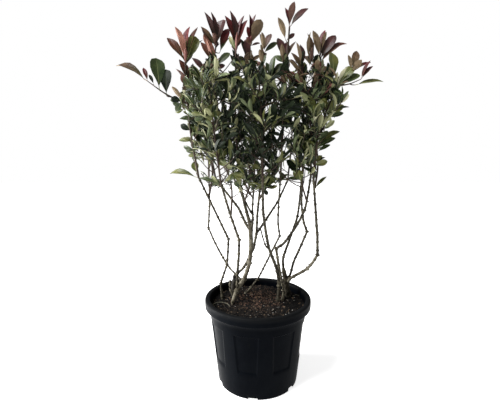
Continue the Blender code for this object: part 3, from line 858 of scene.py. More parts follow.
@dataclass
class Pot:
    """The nursery pot: a turned wall with recessed panels, a rolled collar and a notched foot."""

    height: float = 244 * MM
    base_radius: float = 114.5 * MM
    waist_height: float = 150 * MM
    waist_radius: float = 130.5 * MM
    neck_height: float = 219 * MM
    neck_radius: float = 139 * MM
    wall: float = 5.5 * MM
    floor: float = 14 * MM
    inside_rows: int = 3
    edge: float = 2 * MM
    collar_radius: float = 151 * MM
    collar_round: float = 5 * MM
    collar_swell: float = 0.3 * MM
    collar_steps: int = 6
    under_round: float = 0.8
    under_steps: int = 5
    foot_steps: int = 3
    lip: float = 10 * MM
    tuck: Pair = (0.6 * MM, 0.8 * MM)
    shoulder: float = 4 * MM
    shoulder_heights: Pair = (-14 * MM, 4 * MM)
    panels: int = 8
    panel_first: float = math.radians(-14.5)
    panel_bottom: float = 82 * MM
    panel_top: float = 187 * MM
    panel_step: float = 3 * MM
    panel_fade: float = 9 * MM
    panel_lip: float = 0.4 * MM
    panel_side: Pair = (0.91, 1.04)
    panel_depth: float = 2.5 * MM
    half_top: float = math.radians(14.5)
    half_bottom: float = math.radians(12.5)
    notches: int = 6
    notch_first: float = math.radians(-7.5)
    notch_size: tuple[float, float, float] = (28 * MM, 7 * MM, 10 * MM)
    notch_narrow: float = 0.84
    half_columns: tuple[float, ...] = (0.2, 0.5, 0.8, 0.9, 0.95, 1.0, 1.05, 1.14, 1.35, 1.7)
    row_steps: tuple[float, ...] = (-4.0, -1.5, -0.6, 0.0, 0.5, 1.0, 1.6, 3.0, 6.0)
    plain_rows: tuple[float, ...] = (12.0, 30.0, 50.0, 66.0, 104.0, 118.0, 134.0, 150.0, 166.0, 200.0,
                                     204.0, 208.0, 212.0, 215.0)
    finish: PlasticFinish = field(default_factory=PlasticFinish)

    def wall_radius(self, height: float) -> float:
        """Return the outer radius, on a rib, at a height below the collar."""
        if height < self.waist_height:
            share = height / self.waist_height
            return self.base_radius + (self.waist_radius - self.base_radius) * share
        share = (height - self.waist_height) / (self.neck_height - self.waist_height)
        return self.waist_radius + (self.neck_radius - self.waist_radius) * share

    def body_heights(self) -> list[float]:
        """Return the heights of the body's rows, close together at the panels' ends."""
        heights = [row * MM for row in self.plain_rows]
        for step in self.row_steps:
            heights.append(self.panel_bottom - self.panel_step + step * self.panel_step / 2)
            heights.append(self.panel_top - step * self.panel_step / 2)
        return sorted(height for height in heights if self.edge < height < self.neck_height)

    def profile(self) -> list[Pair]:
        """Return the profile from the underside, up the outside and down the inside."""
        rounding = self.collar_round
        under = rounding * self.under_round
        outer = self.collar_radius - rounding
        inner = self.collar_radius - self.lip
        foot = arc((self.base_radius - self.edge, self.edge), self.edge, BELOW, OUTWARD, self.foot_steps)
        low, high = self.shoulder_heights
        body = []
        for height in self.body_heights():
            swell = ease(height, self.neck_height + low, self.neck_height + high)
            body.append((self.wall_radius(height) + self.shoulder * swell, height))
        tuck = (self.neck_radius + self.shoulder - self.tuck[0], self.neck_height - self.tuck[1])
        below = arc((outer, self.neck_height + under), under, BELOW, OUTWARD, self.under_steps)
        below = [(radius + rounding - under, height) for radius, height in below]
        middle = (self.collar_radius + self.collar_swell, (self.neck_height + self.height) / 2)
        above = arc((outer, self.height - rounding), rounding, OUTWARD, ABOVE, self.collar_steps)
        turn = arc((inner, self.height - rounding), rounding, ABOVE, INWARD, self.collar_steps)
        inside = [(self.wall_radius(height) - self.wall, height)
                  for height in (self.neck_height, self.waist_height, self.floor)]
        return foot + body + [tuck] + below + [middle] + above + turn + inside

    def column_angles(self, height: float) -> list[Pair]:
        """Return the angles round the pot at a height, and how far each is into a panel."""
        share = min(max((height - self.panel_bottom) / (self.panel_top - self.panel_bottom), 0.0), 1.0)
        half = self.half_bottom + (self.half_top - self.half_bottom) * share
        pitch = math.tau / self.panels
        columns = [-size for size in reversed(self.half_columns)] + list(self.half_columns)
        angles = []
        for index in range(self.panels):
            for column in columns:
                size = abs(column)
                turn = half * size if size < 1 else half + (size - 1) * (pitch / 2 - half)
                angles.append((self.panel_first + index * pitch + math.copysign(turn, column),
                               1 - ease(size, *self.panel_side)))
        return angles

    def recess(self, height: float) -> float:
        """Return how deep the panels are at a height, as a share of their depth."""
        low = ease(height, self.panel_bottom - self.panel_fade, self.panel_bottom)
        return low * (1 - ease(height, self.panel_top - self.panel_step, self.panel_top - self.panel_lip))

    def cutters(self) -> bpy.types.Collection:
        """Return the boxes that cut the notches, each a little narrower at its top."""
        basket = bpy.data.collections.new("notches")
        width, depth, height = self.notch_size
        for index in range(self.notches):
            angle = self.notch_first + index * math.tau / self.notches
            along = Vector((math.cos(angle), math.sin(angle), 0.0))
            outward = around(angle, 1.0, 0.0)
            points = []
            for level, narrow in ((-height, 1.0), (height, self.notch_narrow)):
                for side, away in ((-1, -1), (1, -1), (1, 1), (-1, 1)):
                    points.append(outward * (self.base_radius + away * depth)
                                  + along * side * width / 2 * narrow + UP * level)
            faces = [(0, 1, 2, 3), (4, 5, 6, 7), (0, 1, 5, 4), (1, 2, 6, 5), (2, 3, 7, 6), (3, 0, 4, 7)]
            basket.objects.link(bpy.data.objects.new("notch", closed_mesh("notch", points, faces)))
        return basket

    def build(self, effects: Effects) -> list[Piece]:
        """Build the pot.

        Args:
            effects: The shared shader groups.

        Returns:
            Its one piece.
        """
        profile = self.profile()
        points = [Vector((0.0, 0.0, 0.0))]
        rims = len(profile) - self.inside_rows
        for row, (radius, height) in enumerate(profile):
            depth = self.panel_depth * self.recess(height) if row < rims else 0.0
            for angle, share in self.column_angles(height):
                points.append(around(angle, radius - depth * share, height))
        points.append(Vector((0.0, 0.0, self.floor)))
        columns = len(self.column_angles(0.0))
        worker = put_in_scene("worker", closed_mesh("pot_wall", points, turned_faces(len(profile), columns),
                                                    (self.finish.material(effects),)))
        basket = self.cutters()
        modifier = worker.modifiers.new("notches", "BOOLEAN")
        modifier.operand_type = "COLLECTION"
        modifier.collection = basket
        modifier.solver = "EXACT"
        cut = plain_mesh(worker)
        empty(basket)
        return [link_piece("nursery_pot", cut, ("pot",))]


class Crumb(Enum):
    """The kinds of crumb in the compost."""

    RUST = "rust"
    BROWN = "brown"
    BLACK = "black"
    STRAW = "straw"
    GRIT = "grit"


CRUMB_FINISHES = {
    Crumb.RUST: EarthFinish("rust_crumb", (0.007, 0.005, 0.004), (0.150, 0.088, 0.062)),
    Crumb.BROWN: EarthFinish("brown_crumb", (0.005, 0.004, 0.003), (0.046, 0.034, 0.026)),
    Crumb.BLACK: EarthFinish("black_crumb", (0.0015, 0.0015, 0.0015), (0.004, 0.0035, 0.003)),
    Crumb.STRAW: EarthFinish("straw_crumb", (0.070, 0.048, 0.030), (0.150, 0.108, 0.072)),
    Crumb.GRIT: EarthFinish("grit_crumb", (0.420, 0.400, 0.360), (0.620, 0.600, 0.560)),
}
STALK_FINISH = EarthFinish("stalk_finish", (0.055, 0.052, 0.040), (0.120, 0.113, 0.085))


@dataclass
class Compost:
    """The compost: a mounded plug with crumbs, a little grit and two old stalks on it."""

    level: float = 221 * MM
    radius: float = 133.2 * MM
    base_level: float = 14.5 * MM
    base_radius: float = 110 * MM
    mound: float = 5 * MM
    mound_place: Pair = (5 * MM, 42 * MM)
    mound_reach: float = 85 * MM
    lumps: float = 3.2 * MM
    lump_scales: Pair = (55, 190)
    fine_slice: float = 0.4
    fine_share: float = 0.5
    rings: int = 44
    segments: int = 132
    crumbs: int = 5200
    crumb_reach: float = 0.985
    seed: int = 17
    grit_below: float = 0.018
    straw_below: float = 0.060
    rust_shift: float = 20 * MM
    rust_share: Pair = (0.74, 1.05)
    black_share: Pair = (0.45, 0.5)
    dark_right: Pair = (40 * MM, 85 * MM)
    dark_left: Pair = (80 * MM, 112 * MM)
    dark_front: Pair = (60 * MM, 105 * MM)
    front_share: float = 0.4
    small_share: float = 0.85
    small: Pair = (0.9, 2.6)
    large: Pair = (2.4, 3.6)
    grit_sizes: Pair = (0.8, 1.7)
    straw_lengths: Pair = (1.0, 2.2)
    lengths: Pair = (0.8, 1.3)
    flatness: Pair = (0.45, 0.9)
    tilt: float = 0.6
    slope: float = 0.4
    lump_radii: Pair = (0.65, 1.2)
    lump_forms: int = 3
    # The plug is dark compost, and near black as painted shade in the gaps between the crumbs
    finish: EarthFinish = EarthFinish("compost_finish", (0.0015, 0.0015, 0.0015), (0.007, 0.005, 0.004))
    stalks: tuple[tuple[Pair, ...], ...] = (
        ((-131, -30), (-124, -8), (-108, 0), (-90, -8), (-78, -30)),
        ((106, 46), (118, 52), (130, 44)),
    )
    stalk_height: float = 2 * MM
    stalk_radii: Pair = (1.7 * MM, 1.1 * MM)
    stalk_steps: int = 6
    stalk_shape: tuple[int, float, float] = (8, 0.3, 4 * MM)

    def height_at(self, x: float, y: float) -> float:
        """Return the height of the surface at a place.

        Args:
            x: The place from left to right.
            y: The place from front to back.

        Returns:
            The height.
        """
        away = math.hypot(x - self.mound_place[0], y - self.mound_place[1]) / self.mound_reach
        swell = self.mound * math.exp(-away * away)
        coarse = noise.noise(Vector((x, y, 0.0)) * self.lump_scales[0])
        fine = noise.noise(Vector((x, y, self.fine_slice)) * self.lump_scales[1])
        return self.level + swell + (coarse + self.fine_share * fine) * self.lumps

    def kind_at(self, x: float, y: float, rng: Random) -> Crumb:
        """Return the kind of crumb at a place: rusty in the middle, black at the sides.

        Args:
            x: The place from left to right.
            y: The place from front to back.
            rng: The source of the deal.

        Returns:
            The kind.
        """
        chance = rng.random()
        if chance < self.grit_below:
            return Crumb.GRIT
        if chance < self.straw_below:
            return Crumb.STRAW
        middle_x, middle_y = self.mound_place
        away = math.hypot(x - middle_x, y - middle_y + self.rust_shift) / self.radius
        if rng.random() < self.rust_share[0] - self.rust_share[1] * away:
            return Crumb.RUST
        dark = ease(x, *self.dark_right) + ease(-x, *self.dark_left) \
            + self.front_share * ease(-y, *self.dark_front)
        black = self.black_share[0] + self.black_share[1] * min(dark, 1.0)
        return Crumb.BLACK if rng.random() < black else Crumb.BROWN

    def lump_shapes(self, rng: Random) -> list[Mesh]:
        """Return the forms of crumb, irregular and of unit size."""
        shapes = []
        for index in range(self.lump_forms):
            shape = bmesh.new()
            bmesh.ops.create_icosphere(shape, subdivisions=1, radius=1.0)
            for vertex in shape.verts:
                vertex.co *= rng.uniform(*self.lump_radii)
            shapes.append(bpy.data.meshes.new(f"crumb_{index}"))
            shape.to_mesh(shapes[-1])
            shape.free()
        return shapes

    def surface(self, finish: Material) -> Mesh:
        """Return the closed plug, with its lumpy top."""
        rows = [(self.base_radius, self.base_level)]
        rows += [(self.radius * (1 - ring / self.rings), None) for ring in range(self.rings)]
        points = [Vector((0.0, 0.0, self.base_level))]
        for radius, height in rows:
            for segment in range(self.segments):
                place = around(segment * math.tau / self.segments, radius, 0.0)
                place.z = self.height_at(place.x, place.y) if height is None else height
                points.append(place)
        points.append(Vector((0.0, 0.0, self.height_at(0.0, 0.0))))
        return closed_mesh("plug", points, turned_faces(len(rows), self.segments), (finish,))

    def crumb_seats(self, rng: Random) -> dict[Crumb, list[Seat]]:
        """Return the seats of the crumbs, by kind."""
        seats: dict[Crumb, list[Seat]] = {kind: [] for kind in Crumb}
        for _ in range(self.crumbs):
            radius = self.radius * math.sqrt(rng.random()) * self.crumb_reach
            place = around(rng.uniform(0.0, math.tau), radius, 0.0)
            kind = self.kind_at(place.x, place.y, rng)
            place.z = self.height_at(place.x, place.y)
            size = rng.uniform(*(self.small if rng.random() < self.small_share else self.large)) * MM
            if kind is Crumb.GRIT:
                size = rng.uniform(*self.grit_sizes) * MM
            long = rng.uniform(*(self.straw_lengths if kind is Crumb.STRAW else self.lengths))
            aim = Vector((rng.uniform(-1, 1), rng.uniform(-1, 1), rng.uniform(-self.slope, self.slope)))
            face = Vector((rng.uniform(-self.tilt, self.tilt), rng.uniform(-self.tilt, self.tilt), 1.0))
            sizes = (size, size * long, size * rng.uniform(*self.flatness))
            form = rng.randrange(self.lump_forms)
            seats[kind].append(Seat(place, aim.normalized(), face.normalized(), sizes, form))
        return seats

    def build(self, effects: Effects, maker: Maker) -> list[Piece]:
        """Build the compost.

        Args:
            effects: The shared shader groups.
            maker: The maker of swept and sown meshes.

        Returns:
            The plug, its crumbs by kind, and the old stalks.
        """
        rng = Random(self.seed)
        plug = self.surface(self.finish.material(effects))
        pieces = [link_piece("compost_plug", plug, ("compost",))]
        for kind, seats in self.crumb_seats(rng).items():
            mesh = maker.sow(seats, self.lump_shapes(rng), [CRUMB_FINISHES[kind].material(effects)])
            pieces.append(link_piece(f"{kind.value}_crumbs", mesh))
        tubes = []
        for stalk in self.stalks:
            knots = [Vector((x * MM, y * MM, self.height_at(x * MM, y * MM) + self.stalk_height))
                     for x, y in stalk]
            path = smooth_path(knots, self.stalk_steps)
            tubes.append(Tube(path, tapered(path, *self.stalk_radii)))
        mesh = maker.sweep(tubes, STALK_FINISH.material(effects), *self.stalk_shape)
        return pieces + [link_piece("old_stalks", mesh)]


def smooth_path(knots: Path, steps: int, ease_in: float = 1.0) -> Path:
    """Return points on a smooth curve through the knots, which never swings out past them.

    Args:
        knots: The points to pass through.
        steps: How many spans there are between two knots.
        ease_in: How widely it turns at a knot: 1 in an even curve, near 0 in a sharp elbow.

    Returns:
        The points.
    """
    spans = [finish - start for start, finish in zip(knots, knots[1:])]
    tangents = [spans[0].normalized()]
    for before, after in zip(spans, spans[1:]):
        tangents.append((before.normalized() + after.normalized()).normalized())
    tangents.append(spans[-1].normalized())
    path = []
    for index, span in enumerate(spans):
        leave = tangents[index] * span.length * ease_in
        arrive = tangents[index + 1] * span.length * ease_in
        for step in range(steps):
            t = step / steps
            path.append(knots[index] + span * (3 * t ** 2 - 2 * t ** 3)
                        + leave * (t - 2 * t ** 2 + t ** 3) + arrive * (t ** 3 - t ** 2))
    return path + [knots[-1].copy()]


def path_lengths(path: Path) -> list[float]:
    """Return the distance along the path to each of its points."""
    lengths = [0.0]
    for start, finish in zip(path, path[1:]):
        lengths.append(lengths[-1] + (finish - start).length)
    return lengths


def place_on(path: Path, share: float) -> tuple[Vector, Vector]:
    """Return the point at a share of the path's length, and the direction there.

    Args:
        path: The path.
        share: The share, from 0 to 1.

    Returns:
        The point and the direction.
    """
    lengths = path_lengths(path)
    wanted = share * lengths[-1]
    index = 0
    while index < len(path) - 2 and wanted > lengths[index + 1]:
        index += 1
    direction = (path[index + 1] - path[index]).normalized()
    return path[index] + direction * (wanted - lengths[index]), direction


def resampled(path: Path, spacing: float) -> Path:
    """Return points at even distances along a path.

    Args:
        path: The path.
        spacing: About how far apart they are.

    Returns:
        The points.
    """
    lengths = path_lengths(path)
    count = max(int(lengths[-1] / spacing), 2)
    points = []
    index = 0
    for step in range(count + 1):
        wanted = lengths[-1] * step / count
        while index < len(path) - 2 and wanted > lengths[index + 1]:
            index += 1
        span = max(lengths[index + 1] - lengths[index], TINY)
        points.append(path[index].lerp(path[index + 1], (wanted - lengths[index]) / span))
    return points


def tapered(path: Path, foot: float, tip: float) -> list[float]:
    """Return radii that shrink evenly along a path."""
    lengths = path_lengths(path)
    return [foot + (tip - foot) * length / lengths[-1] for length in lengths]


def sideways(along: Vector, turn: float) -> Vector:
    """Return the direction at right angles to another, turned round it by an angle."""
    across = along.orthogonal().normalized()
    return across * math.cos(turn) + along.cross(across) * math.sin(turn)


class Bark(Enum):
    """The kinds of bark."""

    PALE = "pale_bark"
    GREY = "grey_bark"
    OLD = "old_bark"
    DEAD = "dead_bark"


BARK_FINISHES = {
    Bark.PALE: BarkFinish("pale_bark_finish", (0.034, 0.029, 0.018), (0.112, 0.097, 0.064),
                          (0.250, 0.228, 0.170), 0.75),
    Bark.GREY: BarkFinish("grey_bark_finish", (0.012, 0.010, 0.007), (0.050, 0.043, 0.027),
                          (0.140, 0.125, 0.085), 0.50),
    Bark.OLD: BarkFinish("old_bark_finish", (0.008, 0.007, 0.004), (0.040, 0.033, 0.019),
                         (0.150, 0.132, 0.085), 0.34, 3.2 * MM),
    Bark.DEAD: BarkFinish("dead_bark_finish", (0.003, 0.003, 0.002), (0.013, 0.010, 0.007),
                          (0.075, 0.066, 0.046), 0.22, 3.2 * MM),
}
TWIG_FINISH = BarkFinish("twig_finish", (0.018, 0.011, 0.008), (0.050, 0.033, 0.024),
                         (0.100, 0.070, 0.048), 0.35, 1.2 * MM)


@dataclass(frozen=True)
class Limb:
    """A stem or bough: it stands on the compost, or grows from its parent's side or tip."""

    name: str
    foot: float
    tip: float
    route: tuple
    parent: str = ""
    at: float = 1.0
    flare: float = 0.0
    bark: Bark = Bark.GREY

    def old(self) -> bool:
        """Tell whether the limb is stout old wood with a blunt end."""
        return self.bark in (Bark.OLD, Bark.DEAD)

    def knots(self) -> Path:
        """Return the points of its route."""
        return [Vector(point) * MM for point in self.route]


LIMBS = (
    Limb("outer_left_stem", 2.6, 2.3, ((-104, 32, 222), (-108, 30, 268), (-89, 12, 334), (-83, 2, 410)),
         flare=0.5),
    Limb("outer_left_top", 2.3, 1.9, ((-122, -20, 503), (-157, -46, 588)), "outer_left_stem"),
    Limb("left_trunk", 6.0, 4.2, ((-74, -12, 222), (-62, 2, 256), (-40, 8, 290), (-24, 5, 340),
                                  (-20, -3, 400), (-24, -10, 462)), flare=-0.62, bark=Bark.PALE),
    Limb("left_trunk_top", 4.2, 2.5, ((-34, -17, 500), (-50, -30, 572)), "left_trunk"),
    Limb("left_side_bough", 3.2, 2.0, ((-54, 8, 496), (-90, 28, 540), (-122, 44, 580)), "left_trunk", 0.93),
    Limb("pale_stem", 2.1, 1.9, ((-80, 34, 312), (-103, 50, 342), (-130, 62, 390), (-147, 68, 429)),
         "left_trunk", 0.27),
    Limb("pale_stem_top", 1.9, 1.7, ((-144, 80, 502), (-146, 94, 580)), "pale_stem"),
    Limb("dark_stem", 3.0, 2.7, ((-58, -10, 316), (-54, -16, 365), (-52, -30, 416)), "left_trunk", 0.20),
    Limb("dark_stem_top", 2.7, 2.0, ((-72, -60, 485), (-94, -108, 578)), "dark_stem"),
    Limb("old_stump", 11.0, 8.0, ((-72, 45, 222), (-71, 48, 252), (-66, 50, 290)), flare=-0.1,
         bark=Bark.DEAD),
    Limb("stump_stem", 3.4, 2.3, ((-46, 55, 304), (-27, 57, 334), (-12, 50, 372), (-4, 46, 415),
                                  (-1, 50, 471), (9, 62, 570)), "old_stump"),
    Limb("stump_bough", 2.7, 2.0, ((34, 72, 466), (60, 98, 500), (96, 138, 566)), "stump_stem", 0.50),
    Limb("middle_stem", 2.6, 1.9, ((-17, 64, 417), (-14, 72, 452), (-15, 85, 482), (-9, 118, 572)),
         "stump_stem", 0.34),
    Limb("middle_bough", 2.2, 1.8, ((-40, 80, 514), (-70, 58, 578)), "middle_stem", 0.48),
    Limb("thin_stem", 2.1, 1.9, ((-38, 63, 222), (-19, 72, 240), (3, 60, 276), (26, 40, 331),
                                 (61, 0, 420)), flare=0.5),
    Limb("thin_stem_top", 1.9, 1.7, ((55, -12, 460), (55, -22, 505), (58, -34, 580)), "thin_stem"),
    Limb("front_right_stem", 4.2, 2.4, ((58, 6, 222), (62, 14, 268), (56, 9, 315), (30, -15, 390),
                                        (13, -50, 490), (9, -94, 582)), flare=0.2),
    Limb("bent_right_stem", 3.5, 3.2, ((72, 16, 222), (77, 24, 250), (68, 27, 290), (57, 18, 350),
                                       (52, 10, 381)), flare=0.2, bark=Bark.PALE),
    Limb("bent_right_top", 3.2, 2.2, ((72, 0, 398), (106, -10, 451), (127, -17, 497), (140, -28, 590)),
         "bent_right_stem"),
    Limb("right_trunk", 11.0, 6.5, ((92, 46, 222), (88, 51, 251), (83, 55, 283), (78, 57, 304)), flare=-0.1,
         bark=Bark.OLD),
    Limb("right_tall_stem", 3.3, 2.1, ((77, 61, 334), (100, 78, 397), (123, 100, 457), (138, 126, 580)),
         "right_trunk"),
    Limb("right_bough", 3.0, 2.7, ((108, 56, 325), (126, 50, 372), (144, 40, 423)), "right_trunk", 0.66),
    Limb("right_bough_top", 2.7, 2.0, ((133, 34, 452), (125, 29, 505), (125, 23, 580)), "right_bough"),
    Limb("outer_right_stem", 3.6, 3.2, ((126, 14, 309), (141, 0, 325), (154, -15, 349), (163, -30, 374)),
         "right_trunk", 0.55, bark=Bark.PALE),
    Limb("outer_right_top", 3.2, 2.2, ((159, -42, 425), (151, -57, 487), (138, -78, 592)),
         "outer_right_stem"),
    Limb("dead_stub", 2.3, 1.7, ((-79, 2, 262), (-80, 4, 290)), "left_trunk", 0.10),
    Limb("dead_twig", 1.4, 1.1, ((12, -26, 424), (5, -26, 452)), "front_right_stem", 0.46),
)


@dataclass
class Axis:
    """A limb's axis as the source draws it, and its radii."""

    path: Path
    foot: float
    tip: float


def seat_on(parent: Axis, share: float, aim: Vector, radius: float) -> tuple[Path, Vector]:
    """Return the first points of a limb that grows from another, and its first direction.

    Args:
        parent: The limb that it grows from.
        share: The place on the parent, as a share of its length.
        aim: Where the new limb goes first.
        radius: The new limb's radius at its foot.

    Returns:
        At the tip, one point that goes on along the parent. On the side, a point on the parent's
        surface and an elbow that turns up.
    """
    place, along = place_on(parent.path, share)
    if share >= 1.0:
        return [place], along
    outward = (aim - place) - along * (aim - place).dot(along)
    outward.normalize()
    start = place + outward * (parent.foot + (parent.tip - parent.foot) * share)
    return [start, start + (outward + along).normalized() * radius * ELBOW_REACH], outward


@dataclass
class Stems:
    """The bare stems and boughs, in rough bark with buds, spurs and branch collars."""

    coarse_steps: int = 2
    fine_steps: int = 14
    spacing: float = 1.6 * MM
    sunk: float = 9 * MM
    joint: float = 2 * MM
    flare_height: float = 13 * MM
    collar_height: float = 6 * MM
    collar_swell: float = 0.55
    node_spacing: float = 21 * MM
    node_length: float = 1.7 * MM
    node_reach: float = 3
    node_swell: float = 0.56
    node_radius: float = 2.4
    node_starts: Pair = (0.4, 1.0)
    node_sizes: Pair = (0.5, 1.3)
    node_gaps: Pair = (0.65, 1.35)
    blunt: float = 7 * MM
    blunting: float = 0.80
    elbow: float = 0.62
    more_girth: float = 0.7
    old_girth: float = -0.7
    knuckle_turn: float = math.radians(11)
    knuckle_size: float = 1.9
    bark_shape: tuple[int, float, float] = (12, 0.60, 4 * MM)
    old_shape: tuple[int, float, float] = (24, 0.95, 9 * MM)
    bud: tuple[Pair, ...] = ((0.0, 0.30), (0.35, 0.50), (0.75, 0.30), (1.0, 0.03))
    spur: tuple[Pair, ...] = ((0.0, 0.34), (0.4, 0.24), (0.9, 0.22), (1.0, 0.10))
    bud_ends: Pair = (-0.2, 1.02)
    bud_corners: int = 6
    bud_starts: Pair = (0.5, 1.0)
    bud_gaps: Pair = (0.8, 1.6)
    bud_rises: Pair = (0.5, 1.1)
    bud_sizes: Pair = (3.2, 5.0)
    bud_width: float = 0.8
    bud_seat: float = 0.75
    bud_margin: float = 4 * MM
    spur_share: float = 0.3
    spur_sizes: Pair = (4.4, 7.5)
    seed: int = 29
    axes: dict[str, Axis] = field(default_factory=dict)

    def axis_of(self, limb: Limb) -> tuple[Path, Path]:
        """Return a limb's axis as the source draws it, and the fine path of its mesh."""
        knots = limb.knots()
        if not limb.parent:
            fine = smooth_path(knots, self.fine_steps, self.elbow)
            return smooth_path(knots, self.coarse_steps), [fine[0] - UP * self.sunk] + fine
        parent = self.axes[limb.parent]
        start, _ = seat_on(parent, limb.at, knots[0], limb.foot * MM)
        root, along = place_on(parent.path, limb.at)
        if limb.at >= 1.0:
            root = root - along * self.joint
        fine = smooth_path(start + knots, self.fine_steps, self.elbow)
        return smooth_path(start + knots, self.coarse_steps), [root] + fine

    def radii_of(self, limb: Limb, path: Path, rng: Random) -> list[float]:
        """Return a limb's radii, with its flare or collar and a swelling at each node.

        Args:
            limb: The limb.
            path: Its fine path.
            rng: The source of the nodes' places.

        Returns:
            The radius at each point of the path.
        """
        lengths = path_lengths(path)
        total = lengths[-1]
        nodes = []
        place = rng.uniform(*self.node_starts) * self.node_spacing
        while place < total:
            nodes.append((place, rng.uniform(*self.node_sizes)))
            place += self.node_spacing * rng.uniform(*self.node_gaps)
        nodes += self.knuckles(limb, path, lengths)
        thin = min(self.node_radius / limb.foot, 1.0) * self.node_swell
        more = self.old_girth if limb.old() else self.more_girth
        radii = []
        for length in lengths:
            radius = (limb.foot + (limb.tip - limb.foot) * length / total + more) * MM
            if not limb.parent:
                radius *= 1 + limb.flare * math.exp(-max(length - self.sunk, 0.0) / self.flare_height)
            elif limb.at < 1.0:
                radius *= 1 + self.collar_swell * math.exp(-length / self.collar_height)
            for middle, size in nodes:
                away = (length - middle) / self.node_length
                if abs(away) < self.node_reach:
                    radius *= 1 + thin * size * math.exp(-away * away)
            if limb.old():
                end = max(length - (total - self.blunt), 0.0) / self.blunt
                radius *= math.sqrt(1 - self.blunting * end * end)
            radii.append(radius)
        return radii

    def knuckles(self, limb: Limb, path: Path, lengths: list[float]) -> list[Pair]:
        """Return the places and sizes of the swellings at a limb's elbows.

        Args:
            limb: The limb.
            path: Its fine path.
            lengths: The distance along the path to each of its points.

        Returns:
            Pairs of the distance along the path and the size.
        """
        knots = limb.knots()
        swellings = []
        for before, knot, after in zip(knots, knots[1:], knots[2:]):
            if (knot - before).angle(after - knot) > self.knuckle_turn:
                nearest = min(range(len(path)), key=lambda index: (path[index] - knot).length)
                swellings.append((lengths[nearest], self.knuckle_size))
        if limb.at >= 1.0 and limb.parent:
            swellings.append((self.joint, self.knuckle_size))
        return swellings

    def bud_shapes(self) -> list[Mesh]:
        """Return a pointed bud and a blunt spur, each of unit size along Y."""
        low, high = self.bud_ends
        shapes = []
        for profile in (self.bud, self.spur):
            points = [Vector((0.0, low, 0.0))]
            for along, radius in profile:
                for corner in range(self.bud_corners):
                    turn = corner * math.tau / self.bud_corners
                    points.append(Vector((math.cos(turn) * radius, along, math.sin(turn) * radius)))
            points.append(Vector((0.0, high, 0.0)))
            shapes.append(closed_mesh("bud", points, turned_faces(len(profile), self.bud_corners)))
        return shapes

    def bud_seats(self, tubes: list[Tube], rng: Random) -> list[Seat]:
        """Return seats for buds and spurs in a spiral up each limb.

        Args:
            tubes: The limbs.
            rng: The source of their places and sizes.

        Returns:
            The seats.
        """
        seats = []
        for tube in tubes:
            total = path_lengths(tube.path)[-1]
            turn = rng.uniform(0.0, math.tau)
            place = rng.uniform(*self.bud_starts) * self.node_spacing
            while place < total - self.bud_margin:
                point, along = place_on(tube.path, place / total)
                girth = tube.girths[min(int(place / total * len(tube.girths)), len(tube.girths) - 1)]
                outward = sideways(along, turn)
                aim = (outward + along * rng.uniform(*self.bud_rises)).normalized()
                spur = rng.random() < self.spur_share
                size = rng.uniform(*(self.spur_sizes if spur else self.bud_sizes)) * MM
                wide = size * self.bud_width
                seats.append(Seat(point + outward * girth * self.bud_seat, aim, along, (wide, size, wide),
                                  int(spur)))
                turn += GOLDEN_ANGLE
                place += self.node_spacing * rng.uniform(*self.bud_gaps)
        return seats

    def build(self, effects: Effects, maker: Maker) -> list[Piece]:
        """Build the stems.

        Args:
            effects: The shared shader groups.
            maker: The maker of swept and sown meshes.

        Returns:
            One piece for each kind of bark, and one with the buds.
        """
        tubes: dict[Bark, list[Tube]] = {kind: [] for kind in Bark}
        for limb in LIMBS:
            coarse, fine = self.axis_of(limb)
            self.axes[limb.name] = Axis(coarse, limb.foot * MM, limb.tip * MM)
            path = resampled(fine, self.spacing)
            tubes[limb.bark].append(Tube(path, self.radii_of(limb, path, Random(limb.name))))
        pieces = []
        for kind in Bark:
            limbs = [limb for limb in LIMBS if limb.bark is kind]
            shape = self.old_shape if limbs[0].old() else self.bark_shape
            mesh = maker.sweep(tubes[kind], BARK_FINISHES[kind].material(effects), *shape)
            nodes = tuple(limb.name for limb in limbs)
            pieces.append(link_piece(kind.value + "_stems", mesh, nodes))
        seats = self.bud_seats(tubes[Bark.PALE] + tubes[Bark.GREY], Random(self.seed))
        mesh = maker.sow(seats, self.bud_shapes(), [BARK_FINISHES[Bark.GREY].material(effects)])
        return pieces + [link_piece("stem_buds", mesh)]


class Form(Enum):
    """The forms of leaf."""

    OBOVATE = 0
    BROAD = 1
    ELLIPTIC = 2
    NARROW = 3
    CURVED = 4
    YOUNG = 5


